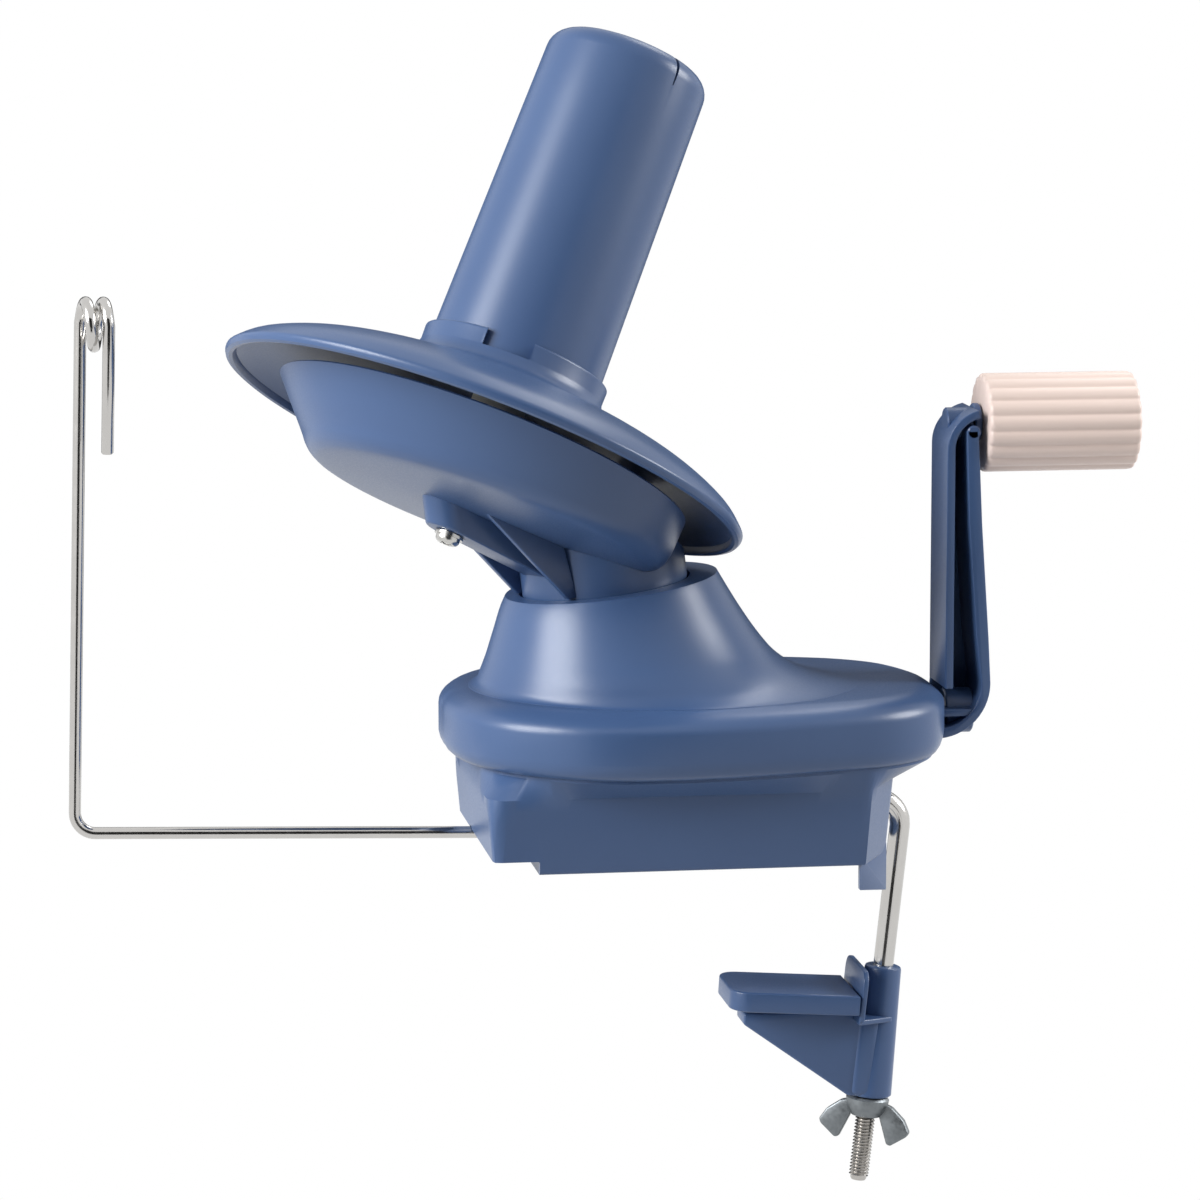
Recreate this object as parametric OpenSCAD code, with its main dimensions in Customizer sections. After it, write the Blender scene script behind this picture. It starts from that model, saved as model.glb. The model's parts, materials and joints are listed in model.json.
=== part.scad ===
// Hand-cranked yarn ball winder with a table clamp and a wire yarn guide.
// The origin is where the head's spin axis meets the table seat. +X points to the crank,
// +Y to the back and +Z up. Sizes are millimetres.

/* [Lower case] */
// Depth of the lower case, front to back
case_d = 80; // [76:1:84]
// Spin axis foot to the left wall
case_left = 48; // [46:1:50]
// Spin axis foot to the right end
case_right = 74; // [72:0.5:75]
// Height of the straight walls
case_h = 22; // [21:0.5:23]
// Wall thickness of the mouldings
wall = 2.5; // [2:0.1:2.8]

/* [Upper cover] */
// Half width of the cover at its widest
cover_half = 60; // [58:0.5:62]
// Spin axis foot to the cover's left end
cover_left = 55; // [54:0.5:57]
// Spin axis foot to the cover's right end
cover_right = 89; // [88:0.25:89.25]
// Height of the joint between case and cover
seam_z = 28.8; // [28:0.2:29.4]
// Height of the cover's flat top
cover_top = 47.8; // [47:0.2:49]
// Radius of the cone at its foot
cone_r = 46.5; // [45:0.5:47]

/* [Swing head] */
// Lean of the head's spin axis to the left
head_tilt = 7; // [6:0.25:8]
// Radius of the neck
neck_r = 24; // [23:0.25:24.5]
// Cone top along the spin axis
ring_h = 77; // [76:0.5:77.5]
// Radius of the bowl's rim
bowl_r = 61.3; // [59.5:0.1:62]

/* [Winding spool] */
// Angle between the spool axis and the spin axis
spool_tilt = 33.35; // [32.75:0.05:34]
// Crossing of the two axes, along the spin axis
cross_h = 178.1; // [170:0.1:186]
// Radius of the winding disc
disc_r = 78.2; // [76:0.2:80]
// Top of the winding tube above the disc's rim
tube_top = 123.3; // [110:0.1:130]
// Radius of the tube at its foot
tube_r = 25.4; // [24.5:0.1:25.9]
// Radius of the tube at its top
tube_top_r = 24; // [22:0.2:24.4]

/* [Crank] */
// Height of the crank shaft
crank_z = 37.5; // [37:0.25:38]
// Shaft to knob, centre to centre
throw = 84.5; // [75:0.5:95]
// Depth of the crank arm, front to back
arm_d = 22; // [17:0.5:24]
// Outer radius of the knob
knob_r = 14.4; // [13:0.2:16]
// Length of the knob
knob_l = 45; // [40:1:55]
// Number of ridges round the knob
knob_ridges = 19; // [17:1:20]

/* [Table clamp] */
// Diameter of the clamp rod, an M6 thread at its end
rod_d = 6; // [5.8:0.1:6.2]
// Lean of the clamp rod
rod_lean = 6.25; // [6:0.25:7.5]
// Length of the rod below the table seat
rod_drop = 103.5; // [102:0.5:108]
// Table seat to pad, along the rod
throat = 46.5; // [45:0.5:47]
// Length of the pad
pad_l = 38.5; // [32:0.5:40]
// Width of the pad
pad_w = 29; // [26:0.5:32]

/* [Yarn guide] */
// Wire diameter
wire_d = 3.5; // [3:0.1:3.7]
// Reach of the guide to the left of the case
guide_reach = 116.5; // [100:0.5:125]
// Height of the pigtail's centre above the wire's foot
guide_h = 148; // [130:1:165]
// Coil radius of the pigtail
eye_r = 6.2; // [5.8:0.1:7.5]

/* [Hidden] */
$fn = 64;

// Finishes
denim = "#4f6a92";
pink = "#e2d1c9";
steel = "#c9ccd0";
zinc = "#a9adb2";
brass = "#c8a860";
ivory = "#e6e2d6";

// Shared fits
slip = 0.02;
running = 0.06;
eps = 0.01;

// Lower case
floor_t = 3;
strip_x = 34;
strip_rise = 4;
case_left_r = 4;
case_shoulder = 60;
case_nose = 13;
lug_t = 3;
lug_drop = [7.6, 11];
boss_r = 5;
screw_spots = [[-40, 30], [-40, -30], [46, 30], [46, -30]];

// Cover outline: a tip arc, two side arcs and two corner arcs, all tangent
cover_lip = 3;
cover_fillet = 7;
cover_mid = 5;
tip_r = 0.707 * cover_half;
tip_dx = cover_right - tip_r - cover_mid;
side_r = (tip_dx * tip_dx + cover_half * cover_half - tip_r * tip_r) / (2 * (cover_half - tip_r));
side_y = side_r - cover_half;
corner_r = 40;
corner_x = corner_r - cover_left;
corner_y = sqrt(pow(side_r - corner_r, 2) - pow(corner_x - cover_mid, 2)) - side_y;

// Cone on the cover
cone_x = -3;
cone_slope = 0.5;
cone_blend = 7;
neck_gap = 0.9;

// Bevel drive from the crank to the neck
pressure = 20;
tooth_slack = 0.22;
pinion_teeth = 15;
crank_teeth = 45;
shaft_angle = 90 + head_tilt;
pinion_cone = atan(sin(shaft_angle) / (crank_teeth / pinion_teeth + cos(shaft_angle)));
crank_cone = shaft_angle - pinion_cone;
drive_outer = 30.67;
drive_inner = 24.4;
apex_s = crank_z / cos(head_tilt);
apex_x = -crank_z * tan(head_tilt);

// Bevel drive from the fixed sun gear to the spool
sun_teeth = 15;
spool_teeth = 36;
disc_lift = 46.6;
rim_drop = (cross_h - ring_h - disc_lift) / cos(spool_tilt);
sun_cone = atan(sin(spool_tilt) / (spool_teeth / sun_teeth + cos(spool_tilt)));
spool_cone = spool_tilt - sun_cone;
gear_drop = 18.1;
gear_face = 9;
spin_outer = rim_drop + gear_drop;
spin_inner = spin_outer - gear_face;

// Stack along the spin axis
head_turn = 26.35;
post_r = 3.5;
post_s = apex_s - 5;
bracket_top = apex_s + 17.7;
neck_s = apex_s + drive_outer * cos(pinion_cone) + 5;
neck_floor = 3;
flange_t = 2.2;
sun_back = cross_h - spin_outer * cos(sun_cone) - 2.5;
sun_front = cross_h - spin_inner * cos(sun_cone);
hub_top = sun_back - 1.5;
hub_r = 8;
neck_bush_r = 5.5;
pinion_flange_r = 15;
pinion_screw_r = 11.5;
bush_l = 8;
shell = 2.2;
neck_trim = -2;

// Bowl under the disc: height above the rim plane, radius less than the rim's, shift to the neck.
// Below the rim its levels slope by bowl_slope.
bowl_levels = [[0.2, 0, 0], [-11, 6, 6.3], [-14.8, 8.3, 7], [-17.2, 12.3, 7], [-19, 47.3, 3]];
bowl_slope = 0.03;
bowl_boss_r = 6.3;
bowl_boss_end = -26;
bowl_boss_top = -13;
fin_t = 2;
fin_y = 13;
fin_foot = [-25, 1.2];
web_rise = 8.6;

// Spool stack, heights above the disc's rim plane
axle_r = 3;
spool_bush_r = 5;
plate_z = 21;
plate_t = 1.4;
collar_r = 28.2;
collar_top = 28.5;
collar_in = tube_r + 0.12;
notch_turn = 230.5;
notch_w = 14.1;
notch_h = 5;
slit_turn = 273;
tube_fillet = 6;
tube_wall = 2.2;
spool_hub_z = -12.5;

// Crank stack along X
shaft_r = 4;
shaft_end = [6.4, 97];
bush_r = 6;
inner_bush_x = [18, 25];
outer_bush_x = [73, cover_right - 0.1];
gear_hub_end = 14.4;
arm_x = 89.4;
arm_right = 98.5;
arm_wall = 2.5;
arm_foot_r = 16.5;
arm_foot = [86.3, crank_z + 8.5];
arm_top = crank_z + throw + 6;
arm_top_r = 7;
arm_bend_drop = 11;
arm_hub_r = 6.6;
gap_in = 3.5;
gap_drop = 3;
knob_x = 101;
knob_z = crank_z + throw;
pin_r = 3;
pin_head_r = 5;
pad_disc_r = 5.75;

// Clamp
rod_r = rod_d / 2;
rod_x = 78.1;
rod_bend = 8;
rod_leg_z = 11;
rod_leg_l = 34;
rod_boss_x = -36;
bend_gap = 1.6;
clip_r = 5.2;
clip_t = 2.2;
sleeve_r = 5.4;
sleeve_foot_r = 6.8;
sleeve_z = [-77.5, -38.5];
pad_t = 6;
pad_x = -8.3;
guard_z = -38;
guard_half = 14.5;
guard_t = 1.6;
seat_half = 12;
seat_t = 2;
gusset_half = 4.5;
shelf_z = -53.5;
nut_z = sleeve_z[0] - 0.4;
nut_h = 8.5;

// Guide
wire_r = wire_d / 2;
guide_foot = [-46, 12, 3.3];
guide_tilt = 1.2;
guide_bend = 6;
guide_in = 29;
rail_half = 4.2;
eye_pitch = 4.8;
free_leg = 36;

// Frames

module head_frame() {
    rotate([0, -head_tilt, 0]) children();
}

module swing_frame() {
    head_frame() rotate([0, 0, head_turn]) children();
}

module spool_frame() {
    swing_frame()
        translate([0, 0, cross_h]) rotate([0, spool_tilt, 0]) translate([0, 0, -rim_drop]) children();
}

module along_x(x) {
    translate([x, 0, crank_z]) rotate([0, 90, 0]) children();
}

module rod_frame() {
    translate([rod_x, 0, 0]) rotate([0, rod_lean, 0]) children();
}

module guide_frame() {
    translate(guide_foot) rotate([0, guide_tilt, 0]) children();
}

// Shared shapes

module ring(r, bore, h) {
    difference() {
        cylinder(r = r, h = h);
        translate([0, 0, -1]) cylinder(r = bore, h = h + 2);
    }
}

module screw(shank_r, shank_l, head_r, head_h) {
    cylinder(r = shank_r, h = shank_l);
    translate([0, 0, -head_h]) cylinder(r = head_r, h = head_h);
}

// Bevel gears, with the cone's apex at the origin and the axis along +Z

function involute(a) = tan(a) * 180 / PI - a;

// Half a tooth's arc at radius r on the unrolled back cone of pitch radius p with z teeth
function half_tooth(r, p, z) =
    let (b = p * cos(pressure), a = acos(b / max(r, b)))
    max(r, b) * (90 / z + involute(pressure) - involute(a)) * PI / 180 - tooth_slack / 2;

function on_cone(r, cone, turn) = r * [sin(cone) * cos(turn), sin(cone) * sin(turn), cos(cone)];

// Cone angle and half turn of a tooth at each height from root to tip, in modules
function tooth_levels(cone, teeth, outer) =
    let (m = 2 * outer * sin(cone) / teeth, p = outer * tan(cone), z = teeth / cos(cone))
    [for (h = [-1.4, -0.6, 0, 0.5, 0.95])
        let (c = cone + atan(h * m / outer))
        [c, half_tooth(p + h * m, p, z) / (outer * sin(c)) * 180 / PI]];

function root_cone(cone, teeth, outer) = cone - atan(1.25 * 2 * sin(cone) / teeth);

module bevel_tooth(inner, outer, levels) {
    n = len(levels);
    points = [
        for (r = [inner, outer])
            for (side = [-1, 1])
                for (v = levels) on_cone(r, v[0], side * v[1])
    ];
    a = [for (k = [0:n - 1]) k];
    b = [for (k = [0:n - 1]) n + k];
    c = [for (k = [0:n - 1]) 2 * n + k];
    d = [for (k = [0:n - 1]) 3 * n + k];
    faces = [
        for (k = [0:n - 2]) each [
            [a[k], a[k + 1], b[k + 1], b[k]],
            [c[k], d[k], d[k + 1], c[k + 1]],
            [a[k], c[k], c[k + 1], a[k + 1]],
            [b[k], b[k + 1], d[k + 1], d[k]]
        ],
        [a[0], b[0], d[0], c[0]],
        [a[n - 1], c[n - 1], d[n - 1], b[n - 1]]
    ];
    polyhedron(points, faces);
}

module bevel_teeth(cone, teeth, inner, outer, phase) {
    levels = tooth_levels(cone, teeth, outer);
    for (i = [0:teeth - 1]) rotate([0, 0, phase + i * 360 / teeth]) bevel_tooth(inner, outer, levels);
}

// Outlines

// Round corners at the left. At the right the sides splay in from the shoulders to a narrow nose.
module case_outline(inset = 0) {
    half = case_d / 2 - inset;
    left = inset - case_left;
    right = case_right - inset;
    lr = max(case_left_r - inset, 0.5);
    run = case_right - case_shoulder;
    fall = case_d / 2 - case_nose;
    slant = sqrt(run * run + fall * fall);
    shoulder = case_shoulder - inset * (slant - run) / fall;
    nose = case_nose - inset * (slant - fall) / run;
    polygon([[left + lr, -half], [shoulder, -half], [right, -nose],
        [right, nose], [shoulder, half], [left + lr, half]]);
    translate([left, lr - half]) square([2 * lr, 2 * (half - lr)]);
    for (s = [-1, 1]) translate([left + lr, s * (half - lr)]) circle(lr);
}

function arc_points(centre, r, from, to, n) =
    [for (i = [0:n]) let (a = from + (to - from) * i / n) centre + r * [cos(a), sin(a)]];

// Points round the cover, each arc sharing its end with the next
function cover_points(inset) =
    let (tip = atan2(side_y, tip_dx), turn = atan2(corner_y + side_y, corner_x - cover_mid))
    let (half = concat(
        arc_points([cover_right - tip_r, 0], tip_r - inset, 0, tip, 12),
        arc_points([cover_mid, -side_y], side_r - inset, tip + 2, turn - 2, 16),
        arc_points([corner_x, corner_y], corner_r - inset, turn, 180, 10)))
    concat(half, [for (i = [len(half) - 1:-1:1]) [half[i][0], -half[i][1]]]);

module cover_outline(inset = 0) {
    polygon(cover_points(inset));
}

// Solid through rings of equal count, from the lowest ring up
module loft(rings) {
    n = len(rings[0]);
    m = len(rings);
    points = [for (ring = rings) for (p = ring) p];
    faces = concat(
        [[for (j = [0:n - 1]) j], [for (j = [n - 1:-1:0]) (m - 1) * n + j]],
        [for (k = [0:m - 2]) for (j = [0:n - 1])
            let (a = k * n, b = a + n, i = (j + 1) % n)
            each [[a + j, b + j, b + i], [a + j, b + i, a + i]]]);
    polyhedron(points, faces);
}

// Solid through the cover's outline at each [height, inset]
module cover_loft(levels) {
    loft([for (v = levels) [for (p = cover_points(v[1])) [p[0], p[1], v[0]]]]);
}

// Lower case

// Flare from the straight walls out to the cover's lower lip, flush on the left
module flare(inset) {
    intersection() {
        hull() {
            translate([0, 0, case_h - eps - inset]) linear_extrude(eps) case_outline(inset);
            translate([0, 0, seam_z - eps + inset]) linear_extrude(eps) cover_outline(cover_lip + inset);
        }
        translate([inset - case_left, -200, 0]) cube([400, 400, seam_z + (inset > 0 ? 1 : 0)]);
    }
}

module lower_case_shell() {
    difference() {
        union() {
            linear_extrude(case_h) case_outline();
            flare(0);
        }
        difference() {
            translate([0, 0, floor_t]) linear_extrude(case_h - floor_t + eps) case_outline(wall);
            translate([-100, -100, -1]) cube([100 - strip_x + wall, 200, strip_rise + floor_t + 1]);
        }
        flare(wall);
        translate([-100, -100, -1]) cube([100 - strip_x, 200, strip_rise + 1]);
    }
}

module lug_post(x, y, drop) {
    translate([x, y - lug_t / 2, -drop]) cube([lug_t, lug_t, drop + floor_t]);
}

module lower_case() {
    color(denim) difference() {
        union() {
            lower_case_shell();
            for (s = [-1, 1]) hull() {
                lug_post(case_shoulder - 2.5, s * (case_d / 2 - 4.5), lug_drop[0]);
                lug_post(case_right - 6, s * (case_nose + 3), lug_drop[1]);
            }
            translate([inner_bush_x[0], -9, 0]) cube([inner_bush_x[1] - inner_bush_x[0], 18, crank_z + 8.5]);
            intersection() {
                rod_frame() translate([rod_boss_x, -8, -10]) cube([60, 16, rod_leg_z + 17]);
                translate([0, -8, 1]) cube([case_right - 1, 16, case_h]);
            }
            translate([-strip_x, guide_foot[1] - rail_half, 0]) cube([strip_x - 13, 2 * rail_half, 8]);
            for (p = screw_spots) {
                foot = p[0] < 0 ? strip_rise : 0;
                translate([p[0], p[1], foot]) cylinder(r = boss_r, h = seam_z - foot);
            }
        }
        along_x(inner_bush_x[0] - 1) cylinder(r = bush_r + slip, h = inner_bush_x[1] - inner_bush_x[0] + 2);
        rod_frame() translate([rod_boss_x - 1, 0, rod_leg_z]) rotate([0, 90, 0])
            cylinder(r = rod_r + slip, h = 60);
        rod_frame() translate([-rod_bend - 1, 0, rod_leg_z]) rotate([0, 90, 0])
            cylinder(r = rod_r + bend_gap, h = 20);
        guide_frame() rotate([0, 90, 0]) translate([0, 0, -10])
            cylinder(r = wire_r + running, h = guide_in + 11);
        guide_frame() rotate([0, 90, 0])
            translate([0, 0, -10]) cylinder(r = wire_r + 0.35, h = 10 - guide_foot[0] - strip_x);
        for (p = screw_spots) {
            translate([p[0], p[1], -1]) cylinder(r = 1.7, h = seam_z + 2);
            translate([p[0], p[1], -1]) cylinder(r = 3.3, h = strip_rise + 4);
        }
        for (p = bracket_spots()) translate([p[0], p[1], 0.8]) cylinder(r = 1.5 + slip, h = 10);
    }
}

// Upper cover

module cover_body(inset) {
    turn = cover_fillet - inset;
    shoulder = cover_top - cover_fillet;
    cover_loft(concat(
        [[seam_z - (inset > 0 ? 1 : 0), cover_lip + inset], [seam_z + 1.2, cover_lip / 2.6 + inset],
            [seam_z + 4.5, inset]],
        [for (a = [0:18:90]) [shoulder + turn * sin(a), inset + turn * (1 - cos(a))]]));
}

// Half profile of the cone with a hollow blend at its foot
module cone_profile(inset) {
    lean = atan(cone_slope);
    foot_r = cone_r + cone_blend * tan((90 - lean) / 2);
    top_z = cover_top + 45;
    blend = [for (i = [0:6]) let (a = 270 - i * (90 - lean) / 6)
        [foot_r - inset + cone_blend * cos(a), cover_top - 0.15 + cone_blend * (1 + sin(a))]];
    polygon(concat(
        [[0, cover_top - 6], [foot_r - inset, cover_top - 6]],
        blend,
        [[blend[6][0] - (top_z - blend[6][1]) * cone_slope, top_z], [0, top_z]]));
}

// Everything above the cone's top, which is level round the hole and falls away outside it
module cone_cap(drop) {
    round_r = 9;
    level_r = neck_r + 3.4;
    top = ring_h - drop;
    arc = [for (i = [0:5]) let (a = 90 - i * 9) [level_r + round_r * cos(a), top - round_r * (1 - sin(a))]];
    head_frame() rotate_extrude($fn = 96) polygon(concat(
        [[0, ring_h + 60], [0, top]], arc,
        [[arc[5][0] + 60, arc[5][1] - 60], [arc[5][0] + 60, ring_h + 60]]));
}

module cone_solid() {
    difference() {
        intersection() {
            translate([cone_x, 0, 0]) rotate_extrude($fn = 96) cone_profile(0);
            linear_extrude(2 * ring_h) cover_outline(wall);
        }
        cone_cap(0);
    }
}

module upper_cover() {
    color(denim) difference() {
        union() {
            difference() {
                union() {
                    cover_body(0);
                    cone_solid();
                }
                cover_body(wall);
                difference() {
                    translate([cone_x, 0, 0]) rotate_extrude($fn = 96) cone_profile(wall * 1.12);
                    cone_cap(wall);
                }
            }
            along_x(outer_bush_x[0]) cylinder(r = bush_r + 2.4, h = cover_right - wall + 1 - outer_bush_x[0]);
            for (p = screw_spots)
                translate([p[0], p[1], seam_z]) cylinder(r = boss_r, h = cover_top - wall - seam_z + 0.5);
        }
        head_frame() translate([0, 0, ring_h - 20]) cylinder(r = neck_r + neck_gap, h = 60);
        along_x(outer_bush_x[0] - 1) cylinder(r = bush_r + slip, h = 40);
        for (p = screw_spots) translate([p[0], p[1], seam_z - 1]) cylinder(r = 1.5 + slip, h = 12);
    }
}

module case_screws() {
    color(steel) for (p = screw_spots)
        translate([p[0], p[1], strip_rise + 3]) screw(1.5, seam_z + 8 - strip_rise - 3, 3, 2.2);
}

// Fixed centre post and sun gear

bracket_foot = [-30, -22];
bracket_size = [23, 29];
bracket_t = 3;
bracket_wall = [-28, -7];
bracket_wall_size = [20, 14];
bracket_r = 8.5;
bracket_gap = 4;

function bracket_spots() = [for (x = [4, 19]) for (y = [4, 11]) bracket_foot + [x, y]];

module post_bracket() {
    color(ivory) difference() {
        union() {
            translate([bracket_foot[0], bracket_foot[1], floor_t])
                cube([bracket_size[0], bracket_size[1], bracket_t]);
            translate([bracket_wall[0], bracket_wall[1], floor_t])
                cube([bracket_wall_size[0], bracket_wall_size[1], apex_s - bracket_gap - floor_t]);
            head_frame() translate([0, 0, post_s - bracket_t])
                cylinder(r = bracket_r, h = bracket_top - post_s + bracket_t);
        }
        head_frame() translate([0, 0, post_s]) cylinder(r = post_r + slip, h = bracket_top);
        for (p = bracket_spots()) translate([p[0], p[1], 0]) cylinder(r = 1.5 + slip, h = 20);
    }
}

module bracket_screws() {
    color(steel) for (p = bracket_spots())
        translate([p[0], p[1], floor_t + bracket_t]) rotate([180, 0, 0]) screw(1.5, 5, 3, 2);
}

module centre_post() {
    color(steel) head_frame() translate([0, 0, post_s]) {
        cylinder(r = post_r, h = sun_front - post_s);
        cylinder(r = 2.5, h = sun_front - post_s + 5);
    }
}

module thrust_sleeve() {
    top = apex_s + drive_inner * cos(pinion_cone) - 1.6;
    color(brass) head_frame() translate([0, 0, bracket_top]) ring(5.6, post_r + slip, top - bracket_top);
}

module sun_gear() {
    cone = root_cone(sun_cone, sun_teeth, spin_outer);
    foot = spin_outer * cos(cone);
    color(ivory) difference() {
        swing_frame() translate([0, 0, cross_h]) rotate([180, 0, 0]) {
            bevel_teeth(sun_cone, sun_teeth, spin_inner, spin_outer, 180);
            rotate_extrude() polygon([
                [0, spin_inner * cos(sun_cone)], [spin_inner * sin(cone), spin_inner * cos(cone)],
                [spin_outer * sin(cone), foot], [spin_outer * sin(cone), cross_h - sun_back],
                [0, cross_h - sun_back]]);
        }
        head_frame() translate([0, 0, sun_back - 1]) cylinder(r = post_r + slip, h = 40);
    }
}

module post_nut() {
    color(steel) head_frame() translate([0, 0, sun_front + 0.3]) difference() {
        cylinder(r = 5, h = 3.6, $fn = 6);
        translate([0, 0, -1]) cylinder(r = 2.5 + slip, h = 6);
    }
}

// Swing head

function bowl_point(x, w) = [
    x * cos(spool_tilt) - (rim_drop - w) * sin(spool_tilt),
    cross_h - (rim_drop - w) * cos(spool_tilt) - x * sin(spool_tilt)
];

module bowl_shape(inset) {
    n = 72;
    loft([for (i = [len(bowl_levels) - 1:-1:0])
        let (v = bowl_levels[i], r = bowl_r - v[1] - inset)
        let (lift = i == 0 && inset > 0 ? 1 : inset, slope = i == 0 ? 0 : bowl_slope)
        [for (j = [0:n - 1])
            let (x = v[2] + r * cos(j * 360 / n))
            [x, r * sin(j * 360 / n), v[0] + lift + slope * x]]]);
}

module fin(y, t, points) {
    swing_frame() translate([0, y + t / 2, 0]) rotate([90, 0, 0]) linear_extrude(t) polygon(points);
}

module under_disc(w) {
    spool_frame() translate([-200, -200, w - 400]) cube([400, 400, 400]);
}

module swing_head() {
    neck_side = -sqrt(neck_r * neck_r - fin_y * fin_y) + 1;
    color(denim) difference() {
        union() {
            difference() {
                union() {
                    spool_frame() bowl_shape(0);
                    intersection() {
                        head_frame() translate([0, 0, neck_s]) cylinder(r = neck_r, h = 50);
                        under_disc(neck_trim);
                    }
                    for (s = [-1, 1]) fin(s * fin_y, fin_t, [
                        [neck_side, ring_h + fin_foot[1]], [fin_foot[0], ring_h + fin_foot[1]],
                        bowl_point(-2, -18), bowl_point(28, -16.8)]);
                    fin(0, fin_t, [
                        [1 - neck_r, ring_h + web_rise], bowl_point(24, -16.8), bowl_point(3, -18),
                        bowl_point(3, bowl_boss_end + 0.5)]);
                }
                spool_frame() bowl_shape(shell);
                intersection() {
                    head_frame() translate([0, 0, neck_s + neck_floor]) cylinder(r = neck_r - shell, h = 50);
                    under_disc(neck_trim - shell);
                }
            }
            spool_frame() translate([0, 0, bowl_boss_end])
                cylinder(r = bowl_boss_r, h = bowl_boss_top - bowl_boss_end);
            head_frame() translate([0, 0, neck_s]) cylinder(r = hub_r, h = hub_top - neck_s);
        }
        head_frame() translate([0, 0, neck_s - 1]) cylinder(r = neck_bush_r + slip, h = hub_top - neck_s + 2);
        spool_frame() translate([0, 0, bowl_boss_end - 1])
            cylinder(r = spool_bush_r + slip, h = bowl_boss_top - bowl_boss_end + 10);
        for (a = pinion_screw_turns()) head_frame() rotate([0, 0, a])
            translate([pinion_screw_r, 0, neck_s - 1]) cylinder(r = 1.25 + slip, h = neck_floor + 2);
    }
}

function pinion_screw_turns() = [60, 180, 300];

module neck_pinion() {
    cone = root_cone(pinion_cone, pinion_teeth, drive_outer);
    back = neck_s - flange_t - apex_s;
    color(ivory) difference() {
        head_frame() translate([0, 0, apex_s]) {
            bevel_teeth(pinion_cone, pinion_teeth, drive_inner, drive_outer, 0);
            rotate_extrude() polygon([
                [0, drive_inner * cos(pinion_cone)], [drive_inner * sin(cone), drive_inner * cos(cone)],
                [drive_outer * sin(cone), drive_outer * cos(cone)], [drive_outer * sin(cone), back],
                [pinion_flange_r, back], [pinion_flange_r, back + flange_t], [0, back + flange_t]]);
        }
        head_frame() cylinder(r = post_r + 0.35, h = ring_h);
        for (a = pinion_screw_turns()) head_frame() rotate([0, 0, a])
            translate([pinion_screw_r, 0, neck_s - 5]) cylinder(r = 1.25 + slip, h = 10);
    }
}

module pinion_screws() {
    color(steel) for (a = pinion_screw_turns()) head_frame() rotate([0, 0, a])
        translate([pinion_screw_r, 0, neck_s + neck_floor]) rotate([180, 0, 0])
            screw(1.25, neck_floor + flange_t - 0.4, 2.4, 1.6);
}

module neck_bush_lower() {
    color(brass) head_frame() translate([0, 0, neck_s]) ring(neck_bush_r, post_r + running, bush_l);
}

module neck_bush_upper() {
    color(brass) head_frame() translate([0, 0, hub_top - bush_l])
        ring(neck_bush_r, post_r + running, bush_l);
}

module spool_bush() {
    color(brass) spool_frame() translate([0, 0, bowl_boss_end])
        ring(spool_bush_r, axle_r + running, bowl_boss_top - bowl_boss_end);
}

// Winding spool

// Outside of the dome, radius less than the rim's and height, from the rim to the collar's hollow foot
dome = [[0.6, -0.4], [0, 1], [0.8, 2.4], [2.6, 4.2], [5.4, 6.3], [9.5, 8.5], [14, 10.4], [19, 12.1], [24, 13.5],
    [31, 14.9], [39, 16.1], [46, 17.2]];
collar_foot = [[47.5, 18.2], [48.8, 19.8], [49.6, 21.6]];

module spool_flange() {
    outside = [for (p = concat(dome, collar_foot)) [disc_r - p[0], p[1]]];
    inside = [for (i = [len(dome) - 1:-1:3]) [disc_r - dome[i][0] - 0.7, dome[i][1] - plate_t]];
    color(denim) spool_frame() difference() {
        rotate_extrude($fn = 120) polygon(concat(
            [[axle_r + slip, plate_z - plate_t], [axle_r + slip, plate_z], [collar_in, plate_z],
                [collar_in, collar_top], [collar_r - 0.6, collar_top], [collar_r, collar_top - 0.6],
                [collar_r, plate_z + 3]],
            [for (i = [len(outside) - 1:-1:0]) outside[i]],
            [[disc_r - 1.6, -0.8], [disc_r - 3, 0], [disc_r - 3.2, 1.4]],
            [for (i = [len(inside) - 1:-1:0]) inside[i]],
            [[collar_in, plate_z - plate_t]]));
        for (a = [notch_turn, notch_turn + 180]) rotate([0, 0, a])
            translate([collar_in - 3, -notch_w / 2, collar_top - notch_h]) cube([8, notch_w, notch_h + 1]);
    }
}

module spool_tube() {
    foot = plate_z;
    top_in = tube_top - tube_wall;
    arc = tube_fillet;
    color(denim) spool_frame() difference() {
        rotate_extrude($fn = 96) polygon(concat(
            [[tube_r - tube_wall, foot], [tube_r, foot]],
            [for (i = [0:5]) let (a = i * 18)
                [tube_top_r - arc + arc * cos(a), tube_top - arc + arc * sin(a)]],
            [[0, tube_top], [0, top_in], [tube_top_r - arc, top_in],
                [tube_top_r - tube_wall, tube_top - arc]]));
        rotate([0, 0, slit_turn]) translate([tube_top_r - 9, -0.9, tube_top - 8]) cube([20, 1.8, 20]);
    }
}

module spool_gear() {
    cone = root_cone(spool_cone, spool_teeth, spin_outer);
    back = rim_drop - spool_hub_z;
    rim_z = spin_outer * cos(cone);
    front = spin_inner * cos(cone);
    hub_z = rim_drop - plate_z + plate_t;
    color(ivory) difference() {
        spool_frame() translate([0, 0, rim_drop]) rotate([180, 0, 0]) {
            bevel_teeth(spool_cone, spool_teeth, spin_inner, spin_outer, 180 / spool_teeth);
            rotate_extrude() polygon([
                [0, hub_z], [hub_r, hub_z], [hub_r, front + 3], [spin_inner * sin(cone) - 4, front + 3],
                [spin_inner * sin(cone) - 4, front], [spin_inner * sin(cone), front],
                [spin_outer * sin(cone), rim_z], [hub_r, rim_z], [hub_r, back], [0, back]]);
        }
        spool_frame() translate([0, 0, -60]) cylinder(r = axle_r + slip, h = 120);
    }
}

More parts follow.
